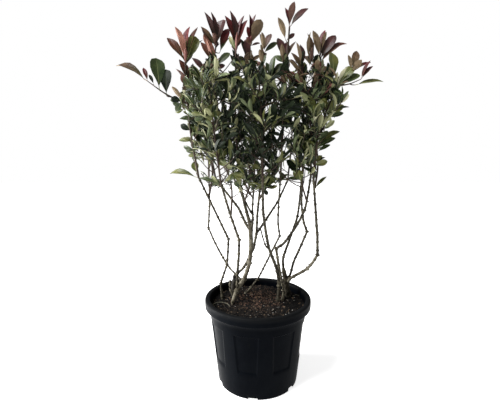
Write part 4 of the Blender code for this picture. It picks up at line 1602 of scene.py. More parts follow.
@dataclass(frozen=True)
class LeafShape:
    """One form of leaf, of unit length, as a thin closed lens with a midrib and a stalk."""

    width: float
    taper: float
    tip: float
    rise: float
    curl: float
    fold: float
    ripple: float
    ripples: float = 9.0
    ripple_shift: float = 1.6
    stalk: float = 0.10
    stalk_end: float = 1.15
    stalk_radius: float = 0.012
    stalk_turns: tuple[float, ...] = (0.5, 2.6, 4.7)
    rib: float = 0.017
    rib_taper: float = 1.1
    widest_rib: float = 0.4
    rib_column: int = 2
    thickness: float = 0.010
    crown: float = -0.3
    shoulder: float = 0.55
    steps: int = 12
    rows: tuple[float, ...] = (0.10, 0.26, 0.44, 0.62, 0.78, 0.91)

    def half_width(self, share: float) -> float:
        """Return half the blade's width at a share of its length."""
        widest = self.taper / (self.taper + self.tip)
        low = (share / widest) ** self.taper
        return self.width / 2 * low * ((1 - share) / (1 - widest)) ** self.tip

    def spine(self, share: float) -> Pair:
        """Return the midrib's place at a share of its length, along and up."""
        along = self.stalk
        up = 0.0
        for step in range(self.steps):
            heading = math.radians(self.rise - self.curl * share * (step + 0.5) / self.steps)
            along += math.cos(heading) * share * (1 - self.stalk) / self.steps
            up += math.sin(heading) * share * (1 - self.stalk) / self.steps
        return along, up

    def mesh(self) -> Mesh:
        """Return the leaf, along Y with its face up, its parts marked and its own UV map."""
        points: Path = []
        places: list[Pair] = []
        faces: list[tuple[int, ...]] = []
        parts: list[LeafPart] = []

        def put(across: float, share: float, drop: float = 0.0) -> int:
            """Add a point at a distance from the midrib, and return its number.

            Args:
                across: The distance.
                share: The place along the leaf.
                drop: How far below the blade's face it lies.

            Returns:
                The number.
            """
            along, up = self.spine(share)
            shift = self.ripple_shift if across > 0 else 0.0
            wave = self.ripple * math.sin(share * self.ripples + shift)
            lift = abs(across) * (math.tan(math.radians(self.fold)) + wave) - drop
            points.append(Vector((across, along, up + lift)))
            places.append((0.5 + across / self.width, share))
            return len(points) - 1

        base = put(0.0, 0.0)
        tops = []
        bellies = []
        crown = self.thickness * self.crown
        for share in self.rows:
            half = self.half_width(share)
            rib = min(self.rib * (self.rib_taper - share), half * self.widest_rib)
            tops.append([put(-half, share), put(-half * self.shoulder, share, crown), put(-rib, share),
                         put(rib, share), put(half * self.shoulder, share, crown), put(half, share)])
            bellies.append([tops[-1][0], put(0.0, share, self.thickness), tops[-1][-1]])
        apex = put(0.0, 1.0)
        for rows, shown in ((tops, LeafPart.FACE), (bellies, LeafPart.UNDER)):
            for low, high in zip(rows, rows[1:]):
                for column in range(len(low) - 1):
                    faces.append((low[column], low[column + 1], high[column + 1], high[column]))
                    on_rib = rows is tops and column == self.rib_column
                    parts.append(LeafPart.RIB if on_rib else shown)
            for column in range(len(rows[0]) - 1):
                faces.append((base, rows[0][column + 1], rows[0][column]))
                faces.append((apex, rows[-1][column], rows[-1][column + 1]))
                parts += [shown, shown]
        ring = []
        for along in (0.0, self.stalk * self.stalk_end):
            for turn in self.stalk_turns:
                points.append(Vector((math.cos(turn) * self.stalk_radius, along,
                                      math.sin(turn) * self.stalk_radius)))
                places.append((0.5, 0.0))
                ring.append(len(points) - 1)
        corners = len(self.stalk_turns)
        low, high = ring[:corners], ring[corners:]
        for corner in range(corners):
            beside = (corner + 1) % corners
            faces.append((low[corner], low[beside], high[beside], high[corner]))
        faces += [tuple(reversed(low)), tuple(high)]
        parts += [LeafPart.RIB] * (corners + 2)
        mesh = closed_mesh("leaf", points, faces)
        uv = mesh.uv_layers.new(name="leaf")
        for loop in mesh.loops:
            uv.data[loop.index].uv = places[loop.vertex_index]
        marks = mesh.attributes.new("part", "INT", "FACE")
        marks.data.foreach_set("value", [part.value for part in parts])
        return mesh


LEAF_SHAPES = {
    Form.OBOVATE: LeafShape(0.33, 1.45, 0.84, 12, 26, 14, 0.10),
    Form.BROAD: LeafShape(0.42, 1.25, 0.56, 8, 18, 10, 0.12),
    Form.ELLIPTIC: LeafShape(0.29, 1.20, 0.95, 14, 34, 16, 0.10),
    Form.NARROW: LeafShape(0.22, 1.15, 1.05, 10, 30, 18, 0.08),
    Form.CURVED: LeafShape(0.27, 1.30, 0.95, 24, 62, 20, 0.10),
    Form.YOUNG: LeafShape(0.21, 1.10, 1.00, 4, 14, 34, 0.06),
}


@dataclass(frozen=True)
class Mass:
    """A mass of foliage: a leader from a limb to its top, with leafy shoots round it.

    Its crest is the number of the marked tuft that ends the leader, where one does.
    """

    name: str
    limb: str
    at: float
    top: tuple
    spread: float
    shoots: int
    tint: Tint
    seed: int
    crest: int = -1


MASSES = (
    Mass("plume_left", "outer_left_top", 1.0, (-160, -80, 905), 60, 9, COPPER, 5, crest=5),
    Mass("plume_left_inner", "left_side_bough", 1.0, (-126, 52, 976), 66, 8, PLUM, 7, crest=0),
    Mass("plume_centre_left", "left_trunk_top", 1.0, (-72, -40, 955), 64, 9, CRIMSON, 11, crest=0),
    Mass("plume_back", "middle_stem", 1.0, (6, 120, 985), 68, 8, CRIMSON, 13, crest=0),
    Mass("plume_centre", "stump_stem", 1.0, (30, 66, 936), 62, 9, BRONZE, 17, crest=2),
    Mass("plume_tall", "thin_stem_top", 1.0, (94, -30, 972), 60, 9, PLUM, 19, crest=0),
    Mass("plume_front_right", "bent_right_top", 1.0, (98, -104, 862), 62, 8, PLUM, 23, crest=0),
    Mass("plume_right", "right_bough_top", 1.0, (150, 4, 920), 62, 9, BRONZE, 29, crest=0),
    Mass("plume_far_right", "outer_right_top", 1.0, (222, -50, 876), 60, 9, BRONZE, 31, crest=2),
    Mass("plume_back_left", "pale_stem_top", 1.0, (-150, 160, 900), 72, 8, BRONZE, 37),
    Mass("plume_back_right", "stump_bough", 1.0, (84, 188, 910), 72, 8, CRIMSON, 41),
    Mass("plume_right_back", "right_tall_stem", 1.0, (186, 126, 880), 70, 8, BRONZE, 43),
    Mass("plume_front_left", "dark_stem_top", 1.0, (-116, -168, 830), 66, 8, GREEN, 47),
    Mass("plume_front", "front_right_stem", 1.0, (-4, -156, 836), 68, 8, GREEN, 53),
    Mass("plume_inner", "middle_bough", 1.0, (-70, 46, 850), 56, 7, SHADE, 59),
    Mass("skirt_left", "outer_left_top", 0.7, (-176, -16, 660), 42, 5, GREEN, 61, crest=0),
    Mass("skirt_front_left", "dark_stem_top", 0.45, (-98, -110, 650), 48, 5, GREEN, 67),
    Mass("skirt_front", "left_trunk_top", 0.55, (-30, -104, 650), 50, 5, GREEN, 71),
    Mass("skirt_centre", "stump_stem", 0.82, (48, 16, 660), 50, 5, SHADE, 89),
    Mass("skirt_front_right", "bent_right_top", 0.72, (92, -74, 650), 50, 5, GREEN, 97, crest=1),
    Mass("skirt_right", "outer_right_top", 0.86, (168, -78, 690), 36, 5, GREEN, 103, crest=0),
    Mass("skirt_back", "middle_stem", 0.72, (-34, 190, 680), 56, 5, GREEN, 83),
)


@dataclass(frozen=True)
class Blade:
    """One leaf of a tuft: its lean from upright towards +X in degrees, its length and width.

    Its drop is how far below the tuft's place it leaves the twig. A pale leaf leans towards the
    front and shows its underside.
    """

    lean: float
    length: float
    width: float
    tint: Tint
    drop: float = 0.0
    pale: bool = False

    # The least length of a form, and its least share of width to length or its least lean
    BROAD = (55, 0.38)
    CURVED = (75, 52)
    OBOVATE = (48, 0.27)
    NARROW = 0.17

    def form(self) -> Form:
        """Return the form that suits the leaf's proportions and colour."""
        share = self.width / self.length
        for form, measure, (length, least) in ((Form.BROAD, share, self.BROAD),
                                               (Form.CURVED, abs(self.lean), self.CURVED),
                                               (Form.OBOVATE, share, self.OBOVATE)):
            if measure > least and self.length > length:
                return form
        if share >= self.NARROW:
            return Form.ELLIPTIC
        return Form.YOUNG if self.tint in RED_TINTS else Form.NARROW


@dataclass(frozen=True)
class Tuft:
    """A tuft that the photograph shows, at the tip of a leader or of a twig that leaves it."""

    place: Vector
    blades: list[Blade]
    crest: bool


# The tufts that the photograph shows, by mass: the place of each and then its leaves, as in Blade
MARKS: dict[str, tuple] = {}
MARKS["plume_left"] = (
    ((-262, -120, 819), (-65, 79, 14, BRONZE), (-16, 31, 9, CRIMSON)),
    ((-247, -120, 811), (-26, 25, 7, SHADE)),
    ((-235, -118, 799), (-4, 72, 31, GREEN)),
    ((-219, -116, 786), (0, 60, 30, SHADE)),
    ((-185, -100, 776), (-36, 42, 11, BRONZE, 0, True), (-77, 28, 16, SHADE), (-147, 30, 15, GREEN),
     (-13, 21, 11, OLIVE)),
    ((-179, -80, 871), (-38, 70, 18, COPPER), (-16, 84, 16, COPPER, 0, True), (9, 82, 20, CRIMSON),
     (22, 86, 14, COPPER), (24, 64, 34, OLIVE), (41, 67, 8, SHADE)),
    ((-168, -80, 812), (-22, 70, 15, COPPER), (-38, 36, 18, COPPER), (-39, 55, 7, COPPER),
     (13, 50, 13, SAGE), (42, 34, 16, GREEN)),
)
MARKS["plume_left_inner"] = (
    ((-116, 50, 942), (-19, 94, 14, PLUM), (-8, 90, 10, PLUM), (17, 72, 28, PLUM),
     (-39, 66, 11, BRONZE)),
    ((-131, 45, 932), (-23, 63, 13, COPPER), (-25, 44, 14, COPPER, 0, True), (-6, 44, 11, BRONZE)),
    ((-139, 30, 861), (-24, 30, 17, COPPER), (25, 31, 18, COPPER, 0, True), (-42, 61, 14, PLUM),
     (55, 36, 14, PLUM)),
    ((-107, 60, 926), (21, 69, 25, CRIMSON), (34, 49, 11, GREEN)),
    ((-119, 40, 884), (-30, 76, 19, COPPER), (-16, 78, 19, COPPER, 0, True), (48, 56, 20, GREEN),
     (-72, 19, 15, COPPER, 0, True), (79, 29, 14, PLUM)),
)
MARKS["plume_centre_left"] = (
    ((-58, -40, 911), (-19, 84, 17, CRIMSON), (-9, 93, 14, PLUM), (15, 83, 10, CRIMSON),
     (23, 75, 17, CRIMSON), (-27, 35, 13, SAGE), (23, 28, 13, PLUM)),
    ((-51, -48, 860), (-42, 28, 12, GREEN), (33, 25, 17, OLIVE), (-134, 23, 17, OLIVE),
     (56, 23, 14, SHADE), (-31, 42, 10, SHADE)),
)
MARKS["plume_back"] = (
    ((-23, 120, 965), (-1, 84, 12, CRIMSON), (12, 86, 9, CRIMSON), (-7, 50, 16, CRIMSON),
     (25, 77, 30, BRONZE, 0, True), (83, 31, 8, PLUM), (-54, 20, 18, COPPER)),
    ((-33, 100, 891), (12, 49, 29, BRONZE, 0, True), (54, 41, 15, OLIVE), (-33, 29, 13, SHADE)),
    ((-32, 95, 908), (-16, 70, 14, SHADE), (-4, 61, 18, PLUM), (33, 26, 21, BRONZE, 0, True),
     (-53, 30, 15, SHADE)),
    ((-56, 85, 882), (-16, 63, 13, SHADE), (-18, 37, 13, GREEN), (24, 43, 15, SHADE)),
)
MARKS["plume_centre"] = (
    ((12, 60, 887), (-9, 50, 14, BRONZE, 0, True), (13, 38, 12, GREEN), (-40, 22, 11, COPPER)),
    ((36, 40, 850), (9, 66, 15, GREEN), (-17, 49, 15, GREEN), (34, 54, 19, GREEN), (32, 40, 12, SAGE),
     (14, 35, 14, SHADE)),
    ((14, 70, 931), (-4, 54, 13, BRONZE, 0, True), (25, 54, 17, COPPER), (-12, 52, 10, BRONZE),
     (57, 48, 16, GREEN), (-125, 38, 11, BRONZE), (146, 14, 13, PLUM)),
)
MARKS["plume_tall"] = (
    ((77, -30, 967), (11, 61, 17, PLUM, 0, True), (47, 64, 17, PLUM), (-15, 47, 12, CRIMSON)),
    ((68, -30, 934), (-20, 59, 13, BRONZE, 0, True), (53, 28, 11, PLUM)),
    ((63, -30, 882), (-14, 60, 21, PLUM), (10, 49, 18, PLUM), (-6, 45, 14, BRONZE, 0, True),
     (32, 59, 9, BRONZE), (-53, 26, 13, GREEN)),
)
MARKS["plume_front_right"] = (
    ((98, -100, 861), (-13, 51, 7, BRONZE, 0, True), (-3, 54, 14, PLUM, 9), (12, 32, 7, SHADE),
     (-31, 47, 11, BRONZE, 14), (-39, 49, 7, BRONZE, 27, True), (0, 52, 12, PLUM, 32),
     (12, 40, 15, OLIVE, 34), (30, 29, 7, SHADE, 25), (-32, 22, 7, SHADE, 41)),
    ((131, -120, 733), (-32, 75, 17, SAGE), (-18, 61, 13, OLIVE), (29, 55, 16, OLIVE)),
)
MARKS["plume_right"] = (
    ((165, 0, 924), (8, 59, 12, CRIMSON, 14), (-3, 38, 7, SHADE, 23), (-20, 71, 14, BRONZE, 23, True),
     (30, 71, 25, PLUM, 30), (55, 82, 16, COPPER, 37), (-7, 61, 8, SAGE, 80, True)),
    ((134, -10, 886), (-7, 72, 14, BRONZE), (0, 75, 10, BRONZE, 0, True), (9, 59, 8, PLUM, 9),
     (15, 71, 22, SHADE, 49), (8, 60, 11, OLIVE, 50)),
    ((154, -20, 829), (-5, 72, 13, BRONZE, 17), (-1, 73, 13, SHADE, 35), (7, 72, 13, SHADE, 37),
     (-14, 46, 7, SAGE)),
)
MARKS["plume_far_right"] = (
    ((185, -15, 840), (-24, 41, 8, BRONZE, 0, True), (-8, 45, 9, OLIVE, 0, True),
     (-1, 45, 11, PLUM, 13)),
    ((193, -30, 837), (-7, 69, 27, OLIVE)),
    ((195, -60, 818), (40, 59, 23, OLIVE), (65, 62, 18, GREEN), (29, 52, 9, SAGE, 0, True),
     (56, 38, 10, GREEN, 5)),
    ((233, -50, 856), (12, 49, 20, BRONZE), (-16, 40, 7, BRONZE, 0, True),
     (42, 36, 18, BRONZE, 0, True), (41, 43, 13, BRONZE, 15), (62, 54, 9, CRIMSON, 5)),
    ((254, -60, 834), (42, 42, 8, PLUM), (26, 50, 6, CRIMSON)),
    ((239, -60, 820), (84, 72, 10, OLIVE)),
)
MARKS["plume_front_left"] = (
    ((-124, -160, 736), (37, 33, 12, OLIVE), (-79, 32, 10, OLIVE), (79, 39, 12, OLIVE),
     (-111, 26, 11, GREEN), (-20, 28, 9, SAGE), (130, 19, 12, OLIVE)),
)
MARKS["plume_front"] = (
    ((44, -140, 777), (-33, 67, 15, SAGE), (26, 39, 12, GREEN)),
    ((27, -130, 804), (-45, 55, 13, SAGE), (19, 31, 9, OLIVE)),
    ((-12, -150, 776), (-20, 54, 16, SAGE), (-48, 38, 10, GREEN), (52, 29, 10, OLIVE)),
)
MARKS["plume_inner"] = (
    ((-139, 20, 820), (-22, 52, 24, GREEN), (21, 51, 24, SHADE), (-75, 33, 12, GREEN),
     (61, 41, 12, OLIVE)),
)
MARKS["skirt_left"] = (
    ((-172, -60, 707), (-58, 31, 16, SHADE)),
    ((-146, -60, 739), (-70, 48, 14, OLIVE), (-84, 55, 12, GREEN, 7), (46, 46, 15, OLIVE),
     (-81, 31, 12, SHADE, 10)),
    ((-193, -60, 766), (-58, 35, 10, GREEN), (-67, 26, 10, GREEN), (-112, 19, 12, OLIVE, 5)),
    ((-163, -40, 682), (-87, 45, 12, OLIVE), (-77, 34, 7, OLIVE)),
    ((-164, -35, 654), (-65, 37, 12, GREEN), (-82, 27, 10, GREEN), (-104, 22, 11, OLIVE, 5)),
    ((-166, -25, 598), (-8, 32, 21, OLIVE)),
    ((-163, -20, 586), (-83, 76, 11, OLIVE)),
)
MARKS["skirt_front_left"] = (
    ((-100, -120, 638), (124, 41, 14, SAGE), (50, 28, 14, OLIVE), (-35, 26, 12, OLIVE)),
    ((-80, -100, 657), (-30, 49, 20, GREEN), (-9, 37, 15, SHADE)),
    ((-90, -110, 657), (-22, 44, 22, SHADE)),
    ((-71, -110, 616), (-55, 40, 16, OLIVE), (-51, 50, 11, OLIVE)),
    ((-83, -110, 647), (-70, 29, 12, OLIVE)),
    ((-101, -80, 574), (-73, 53, 8, GREEN), (-43, 29, 10, SAGE)),
)
MARKS["skirt_front"] = (
    ((-42, -100, 618), (3, 51, 15, SHADE), (-34, 26, 11, OLIVE), (-131, 41, 11, GREEN, 7),
     (-119, 51, 9, OLIVE, 15)),
    ((-47, -70, 565), (-12, 31, 14, SAGE), (-53, 21, 11, GREEN), (39, 30, 10, GREEN)),
    ((8, -80, 612), (-70, 29, 14, OLIVE), (-38, 29, 10, GREEN)),
)
MARKS["skirt_centre"] = (
    ((18, 0, 555), (81, 36, 11, OLIVE), (160, 21, 12, SHADE), (17, 42, 12, GREEN), (51, 45, 11, OLIVE)),
    ((52, 0, 564), (-42, 39, 14, OLIVE), (45, 43, 8, OLIVE)),
)
MARKS["skirt_front_right"] = (
    ((75, -60, 584), (74, 24, 9, GREEN), (-50, 31, 10, GREEN)),
    ((114, -90, 650), (-21, 61, 14, OLIVE), (-7, 75, 14, OLIVE), (20, 40, 12, OLIVE),
     (-51, 35, 12, GREEN)),
    ((110, -70, 585), (-38, 64, 20, SHADE), (-50, 30, 16, OLIVE), (-85, 36, 9, GREEN)),
    ((107, -80, 579), (-17, 33, 24, OLIVE)),
    ((35, -60, 626), (68, 34, 13, OLIVE), (6, 33, 10, GREEN)),
)
MARKS["skirt_right"] = (
    ((145, -65, 682), (50, 39, 14, GREEN), (64, 66, 13, OLIVE, 5), (65, 54, 13, GREEN, 15),
     (67, 40, 9, GREEN, 25)),
    ((162, -62, 712), (54, 36, 13, SAGE), (58, 23, 10, GREEN)),
    ((181, -60, 764), (54, 56, 17, SAGE, 0, True), (55, 39, 17, OLIVE, 15), (79, 48, 7, GREEN, 7),
     (73, 34, 13, GREEN, 22), (-35, 48, 17, OLIVE, 10)),
    ((129, -60, 624), (58, 40, 12, OLIVE), (76, 49, 17, OLIVE, 5), (68, 45, 7, SHADE),
     (150, 36, 14, GREEN, 5)),
    ((148, -40, 557), (44, 46, 7, OLIVE)),
)

# The crown's outline from the front, on the plane through the pot's axis: places in millimetres
OUTLINE = (
    (-110, 548), (-170, 590), (-188, 640), (-196, 690), (-192, 740), (-210, 780), (-208, 815),
    (-200, 860), (-172, 890), (-156, 858), (-142, 915), (-118, 928), (-100, 900), (-92, 856),
    (-72, 900), (-48, 915), (-36, 870), (-20, 925), (-6, 865), (12, 900), (32, 845), (50, 855),
    (72, 915), (92, 890), (116, 868), (136, 872), (160, 905), (188, 890), (198, 856), (220, 850),
    (250, 848), (240, 812), (222, 775), (214, 740), (192, 716), (188, 690), (166, 640), (158, 590),
    (128, 590), (104, 572), (70, 582), (36, 545), (-30, 530), (-76, 560),
)

# Gaps where the photograph shows sky through the crown: place and half sizes on the same plane
GAPS = (
    (34, 906, 17, 30), (-156, 899, 14, 24), (-89, 886, 17, 19), (-86, 928, 14, 18),
    (-7, 917, 11, 20), (-98, 601, 14, 18), (-192, 703, 16, 12), (194, 715, 16, 12),
    (135, 841, 11, 16), (94, 920, 12, 18), (74, 604, 12, 12), (89, 873, 9, 11), (-76, 549, 22, 16),
    (129, 564, 10, 30), (219, 880, 16, 26), (-207, 756, 16, 11), (-110, 927, 7, 22),
    (168, 651, 14, 9), (-35, 960, 12, 36), (20, 700, 7, 9), (-40, 660, 8, 8), (-112, 700, 8, 10),
    (70, 690, 8, 7), (-6, 610, 9, 9), (112, 740, 7, 8), (-60, 740, 6, 8),
    (-122, 608, 36, 14), (60, 591, 14, 8), (101, 575, 16, 11), (-31, 550, 11, 11),
    (163, 575, 8, 14), (227, 820, 14, 11), (191, 715, 11, 11), (56, 713, 8, 14), (83, 707, 14, 8),
    (-103, 771, 8, 14), (-193, 675, 16, 8), (177, 619, 11, 8), (197, 678, 11, 8), (-96, 884, 8, 11),
    (-65, 873, 8, 11), (-157, 889, 11, 11), (49, 838, 8, 8),
)


def tufts_of(mass: Mass) -> list[Tuft]:
    """Return the marked tufts of a mass."""
    return [Tuft(Vector(place) * MM, [Blade(*blade) for blade in blades], number == mass.crest)
            for number, (place, *blades) in enumerate(MARKS.get(mass.name, ()))]


@dataclass
class Crown:
    """The crown: leaders, shoots and twigs that grow on from the limbs, and their leaves."""

    stems: Stems
    eye: Vector
    leader_radii: Pair = (2.8 * MM, 2.1 * MM)
    leader_bend: float = 0.45
    leader_steps: int = 8
    twig_steps: int = 4
    shoot_radii: Pair = (1.4 * MM, 0.9 * MM)
    twig_radii: Pair = (1.0 * MM, 0.7 * MM)
    wood_shape: tuple[int, float, float] = (6, 0.4, 5 * MM)
    bow: float = 0.08
    tuft_bow: float = -0.06
    shoot_sizes: Pair = (0.85, 1.15)
    shoot_places: Pair = (0.06, 0.90)
    shoot_rise: float = 0.35
    shoot_lift: float = 0.40
    shoot_shrinks: tuple[float, ...] = (1.0, 0.8, 0.62, 0.45)
    twig_share: float = 0.62
    twigs_on_shoot: tuple[float, ...] = (0.3, 0.55, 0.8)
    leaves_on_leader: int = 24
    leaves_on_shoot: int = 12
    leaves_on_twig: int = 8
    last_leaf: float = 0.985
    last_under_crest: float = 0.9
    most_leaves: int = 2000
    leaf_length: float = 56 * MM
    leaf_sizes: Pair = (0.58, 1.12)
    leaf_widths: Pair = (0.62, 0.92)
    leaf_tilt: float = 0.45
    tilt_up: Pair = (-0.2, 1.0)
    leaf_rise: float = 0.35
    more_shoots: int = 5
    leaf_first: float = 0.20
    leaf_start: float = 0.6
    leaf_crowding: float = 0.75
    angle_low: float = math.radians(64)
    angle_high: float = math.radians(22)
    angle_power: float = 1.5
    lift: float = 0.12
    shrink: float = 0.25
    tries: int = 6
    try_turn: float = math.radians(100)
    try_shrink: float = 0.94
    open_places: Pair = (0.6, 0.35)
    cell_margin: float = -14 * MM
    thinning: float = 0.54
    thin_heights: Pair = (575 * MM, 740 * MM)
    hole_size: float = 17.0
    hole_level: float = 0.38
    hole_drop: float = 0.20
    hole_heights: Pair = (-760, -560)
    flush_depths: Pair = (112 * MM, 72 * MM)
    flush_share: float = 0.4
    flush_rise: float = 10
    flush_spread: Pair = (0.2, 1.0)
    red_flush: tuple[Tint, ...] = (CRIMSON, PLUM, PLUM, BRONZE, BRONZE, OLIVE)
    bronze_flush: tuple[Tint, ...] = (BRONZE, BRONZE, COPPER, PLUM, OLIVE, GREEN)
    # painted shade: the SHADE leaves among the outer tints darken the crown
    outer_tints: tuple[Tint, ...] = (GREEN,) * 9 + (SHADE,) + (OLIVE,) * 8 + (SHADE,) * 3 + (SAGE,)
    young_forms: tuple[Form, ...] = (Form.YOUNG, Form.NARROW, Form.ELLIPTIC, Form.CURVED)
    grown_forms: tuple[Form, ...] = (Form.OBOVATE, Form.ELLIPTIC, Form.ELLIPTIC, Form.NARROW, Form.NARROW,
                                     Form.CURVED, Form.CURVED)
    # painted shade: how deep in the crown, how low and where in its heart a leaf is dealt the near-black
    # SHADE tint
    shade_depths: Pair = (10 * MM, 130 * MM)
    shade_share: float = 0.85
    low_shade: float = 0.45
    low_heights: Pair = (560 * MM, 720 * MM)
    heart_reach: Pair = (60 * MM, 125 * MM)
    heart_heights: tuple[float, ...] = (580 * MM, 660 * MM, 770 * MM, 840 * MM)
    heart_shade: float = 0.75
    limb_spots: float = 8 * MM
    spot_gap: float = 5 * MM
    foot_slope: float = 0.4
    foot_above: float = 3 * MM
    blade_slope: Pair = (8.0, 24.0)
    blade_step: float = 1.2 * MM
    blade_turn: int = 5
    blade_roll: float = 0.9
    stout_length: float = 90 * MM
    full_tuft: int = 4
    filling_sides: tuple[int, ...] = (1, 1, -1, 1)
    filling_across: float = 0.3
    filling_depths: Pair = (0.9, 1.6)
    filling_sizes: Pair = (0.75, 0.95)
    filling_length: float = 64
    filling_drops: Pair = (2, 14)
    front_width: float = 0.6
    reach: tuple = ((480, 120), (600, 185), (720, 215), (800, 245), (860, 275), (1100, 275))
    site_shares: tuple[float, ...] = (0.15, 0.35, 0.55, 0.75, 0.95)
    tubes: list[Tube] = field(default_factory=list)
    seats: dict[Tint, list[Seat]] = field(default_factory=lambda: {tint: [] for tint in Tint})
    leaders: dict[str, Path] = field(default_factory=dict)
    tuft_twigs: dict[str, list[Path]] = field(default_factory=dict)
    sites: dict[str, Path] = field(default_factory=dict)

    def crown_reach(self, height: float) -> float:
        """Return how far the crown reaches from its axis at a height."""
        for (low, inner), (high, outer) in zip(self.reach, self.reach[1:]):
            if height <= high * MM:
                share = max((height / MM - low) / (high - low), 0.0)
                return (inner + (outer - inner) * share) * MM
        return self.reach[-1][1] * MM

    def open_sky(self, point: Vector) -> bool:
        """Tell whether the photograph shows sky at a point, outside the outline or in a gap."""
        # The point is seen from the front on the plane through the pot's axis
        seen = self.eye + (point - self.eye) * (-self.eye.y / (point.y - self.eye.y))
        x, z = seen.x / MM, seen.z / MM
        for middle_x, middle_z, half_x, half_z in GAPS:
            if ((x - middle_x) / half_x) ** 2 + ((z - middle_z) / half_z) ** 2 < 1:
                return True
        crossings = 0
        for (x0, z0), (x1, z1) in zip(OUTLINE, OUTLINE[1:] + OUTLINE[:1]):
            if (z0 > z) != (z1 > z) and x < x0 + (x1 - x0) * (z - z0) / (z1 - z0):
                crossings += 1
        hole = noise.noise(Vector((x, z, 0.0)) / self.hole_size)
        return crossings % 2 == 0 or hole > self.hole_level - self.hole_drop * ease(-z, *self.hole_heights)

    def inside(self, mass: Mass, point: Vector) -> bool:
        """Tell whether a point is in the crown, in a mass's own space, and not in open sky.

        Args:
            mass: The mass.
            point: The point.

        Returns:
            Whether its wood and leaves may reach there.
        """
        if math.hypot(point.x, point.y) > self.crown_reach(point.z) or self.open_sky(point):
            return False
        own = min((point - site).length for site in self.sites[mass.name])
        for name, sites in self.sites.items():
            if name != mass.name and any((point - site).length < own + self.cell_margin for site in sites):
                return False
        return True

    def plan_leader(self, mass: Mass) -> None:
        """Work out a mass's leader, from its seat on the limb to its top or its crest."""
        parent = self.stems.axes[mass.limb]
        crests = [tuft.place for tuft in tufts_of(mass) if tuft.crest]
        top = crests[0] if crests else Vector(mass.top) * MM
        start, first = seat_on(parent, mass.at, top, self.leader_radii[0])
        bend = start[-1] + (first + UP).normalized() * (top - start[-1]).length * self.leader_bend
        middle = ((start[-1] + top) / 2 + bend) / 2
        path = smooth_path(start + [middle, top], self.leader_steps)
        self.leaders[mass.name] = path
        self.sites[mass.name] = [place_on(path, share)[0] for share in self.site_shares]
        root, _ = place_on(parent.path, mass.at)
        self.add_wood(resampled([root] + path, self.spot_gap), self.leader_radii)

    def add_wood(self, path: Path, radii: Pair) -> None:
        """Add a leader, shoot or twig with its radii at the foot and the tip."""
        self.tubes.append(Tube(path, tapered(path, *radii)))

    def bowed(self, foot: Vector, tip: Vector, away: Vector, bow: float) -> Path:
        """Return the path of a twig that bows out in a direction by a share of its length."""
        middle = (foot + tip) / 2 + away * (tip - foot).length * bow
        return smooth_path([foot, middle, tip], self.twig_steps)

    def deal_tint(self, mass: Mass, place: Vector, share: float, rng: Random) -> Tint:
        """Deal a leaf its colour: young reds at the tips, greens below, and painted shade, the near-black
        SHADE tint, to those deep inside and in the crown's heart.

        Args:
            mass: The mass that it grows in.
            place: Its tip.
            share: Its place on its twig.
            rng: The source of the deal.

        Returns:
            The tint.
        """
        flush = self.flush_depths[place.x > 0] * rng.uniform(*self.flush_spread)
        if place.z > (mass.top[2] + self.flush_rise) * MM - flush and share > self.flush_share:
            if mass.tint in (CRIMSON, PLUM):
                return rng.choice(self.red_flush)
            if mass.tint in (BRONZE, COPPER):
                return rng.choice(self.bronze_flush)
        depth = self.crown_reach(place.z) - math.hypot(place.x, place.y)
        low = 1 - ease(place.z, *self.low_heights)
        foot, low_heart, high_heart, crest = self.heart_heights
        heart = (1 - ease(abs(place.x), *self.heart_reach)) * ease(place.z, foot, low_heart) \
            * (1 - ease(place.z, high_heart, crest))
        # painted shade: deep and heart leaves take the near-black SHADE tint
        deep = ease(depth, *self.shade_depths) * (self.shade_share - self.low_shade * low)
        if rng.random() < max(deep, self.heart_shade * heart):
            return SHADE
        return rng.choice(self.outer_tints)

    def grow_leaves(self, mass: Mass, twig: Path, count: int, rng: Random, last: float) -> int:
        """Set the leaves of one twig in a golden-angle spiral up to its tip.

        Args:
            mass: The mass that they grow in.
            twig: The twig's path.
            count: How many leaves it has.
            rng: The source of their sizes.
            last: The highest place on the twig, as a share of its length.

        Returns:
            How many leaves it found room for.
        """
        phase = rng.uniform(0.0, math.tau)
        grown_here = 0
        for index in range(count):
            share = self.leaf_first + (1 - self.leaf_first) * ((index + self.leaf_start) / count) \
                ** self.leaf_crowding
            place, along = place_on(twig, min(share, last))
            angle = self.angle_low + (self.angle_high - self.angle_low) * share ** self.angle_power
            length = self.leaf_length * rng.uniform(*self.leaf_sizes) * (1 - self.shrink * share ** 3)
            if rng.random() < self.thinning * (1 - ease(place.z, *self.thin_heights)):
                continue
            for attempt in range(self.tries):
                outward = sideways(along, phase + index * GOLDEN_ANGLE + attempt * self.try_turn)
                aim = along * math.cos(angle) + outward * math.sin(angle) + UP * self.lift
                aim.normalize()
                between = [place + aim * length * part for part in self.open_places]
                if self.inside(mass, place + aim * length) and not any(map(self.open_sky, between)):
                    self.set_leaf(mass, place, aim, along, length, share, rng)
                    grown_here += 1
                    break
                length *= self.try_shrink
        return grown_here

    def set_leaf(self, mass: Mass, place: Vector, aim: Vector, along: Vector, length: float,
                 share: float, rng: Random) -> None:
        """Set one leaf, with its colour and form.

        Args:
            mass: The mass that it grows in.
            place: Where it leaves its twig.
            aim: Where it points.
            along: The twig's direction there.
            length: Its length.
            share: Its place on its twig.
            rng: The source of its colour, turn, width and form.
        """
        tint = self.deal_tint(mass, place + aim * length, share, rng)
        forms = self.young_forms if tint in RED_TINTS else self.grown_forms
        tilt = Vector((rng.uniform(-1, 1), rng.uniform(-1, 1), rng.uniform(*self.tilt_up)))
        face = (along + UP * self.leaf_rise + tilt * self.leaf_tilt).normalized()
        wide = rng.uniform(*self.leaf_widths)
        self.seats[tint].append(Seat(place, aim, face, (length * wide, length, length),
                                     rng.choice(forms).value))

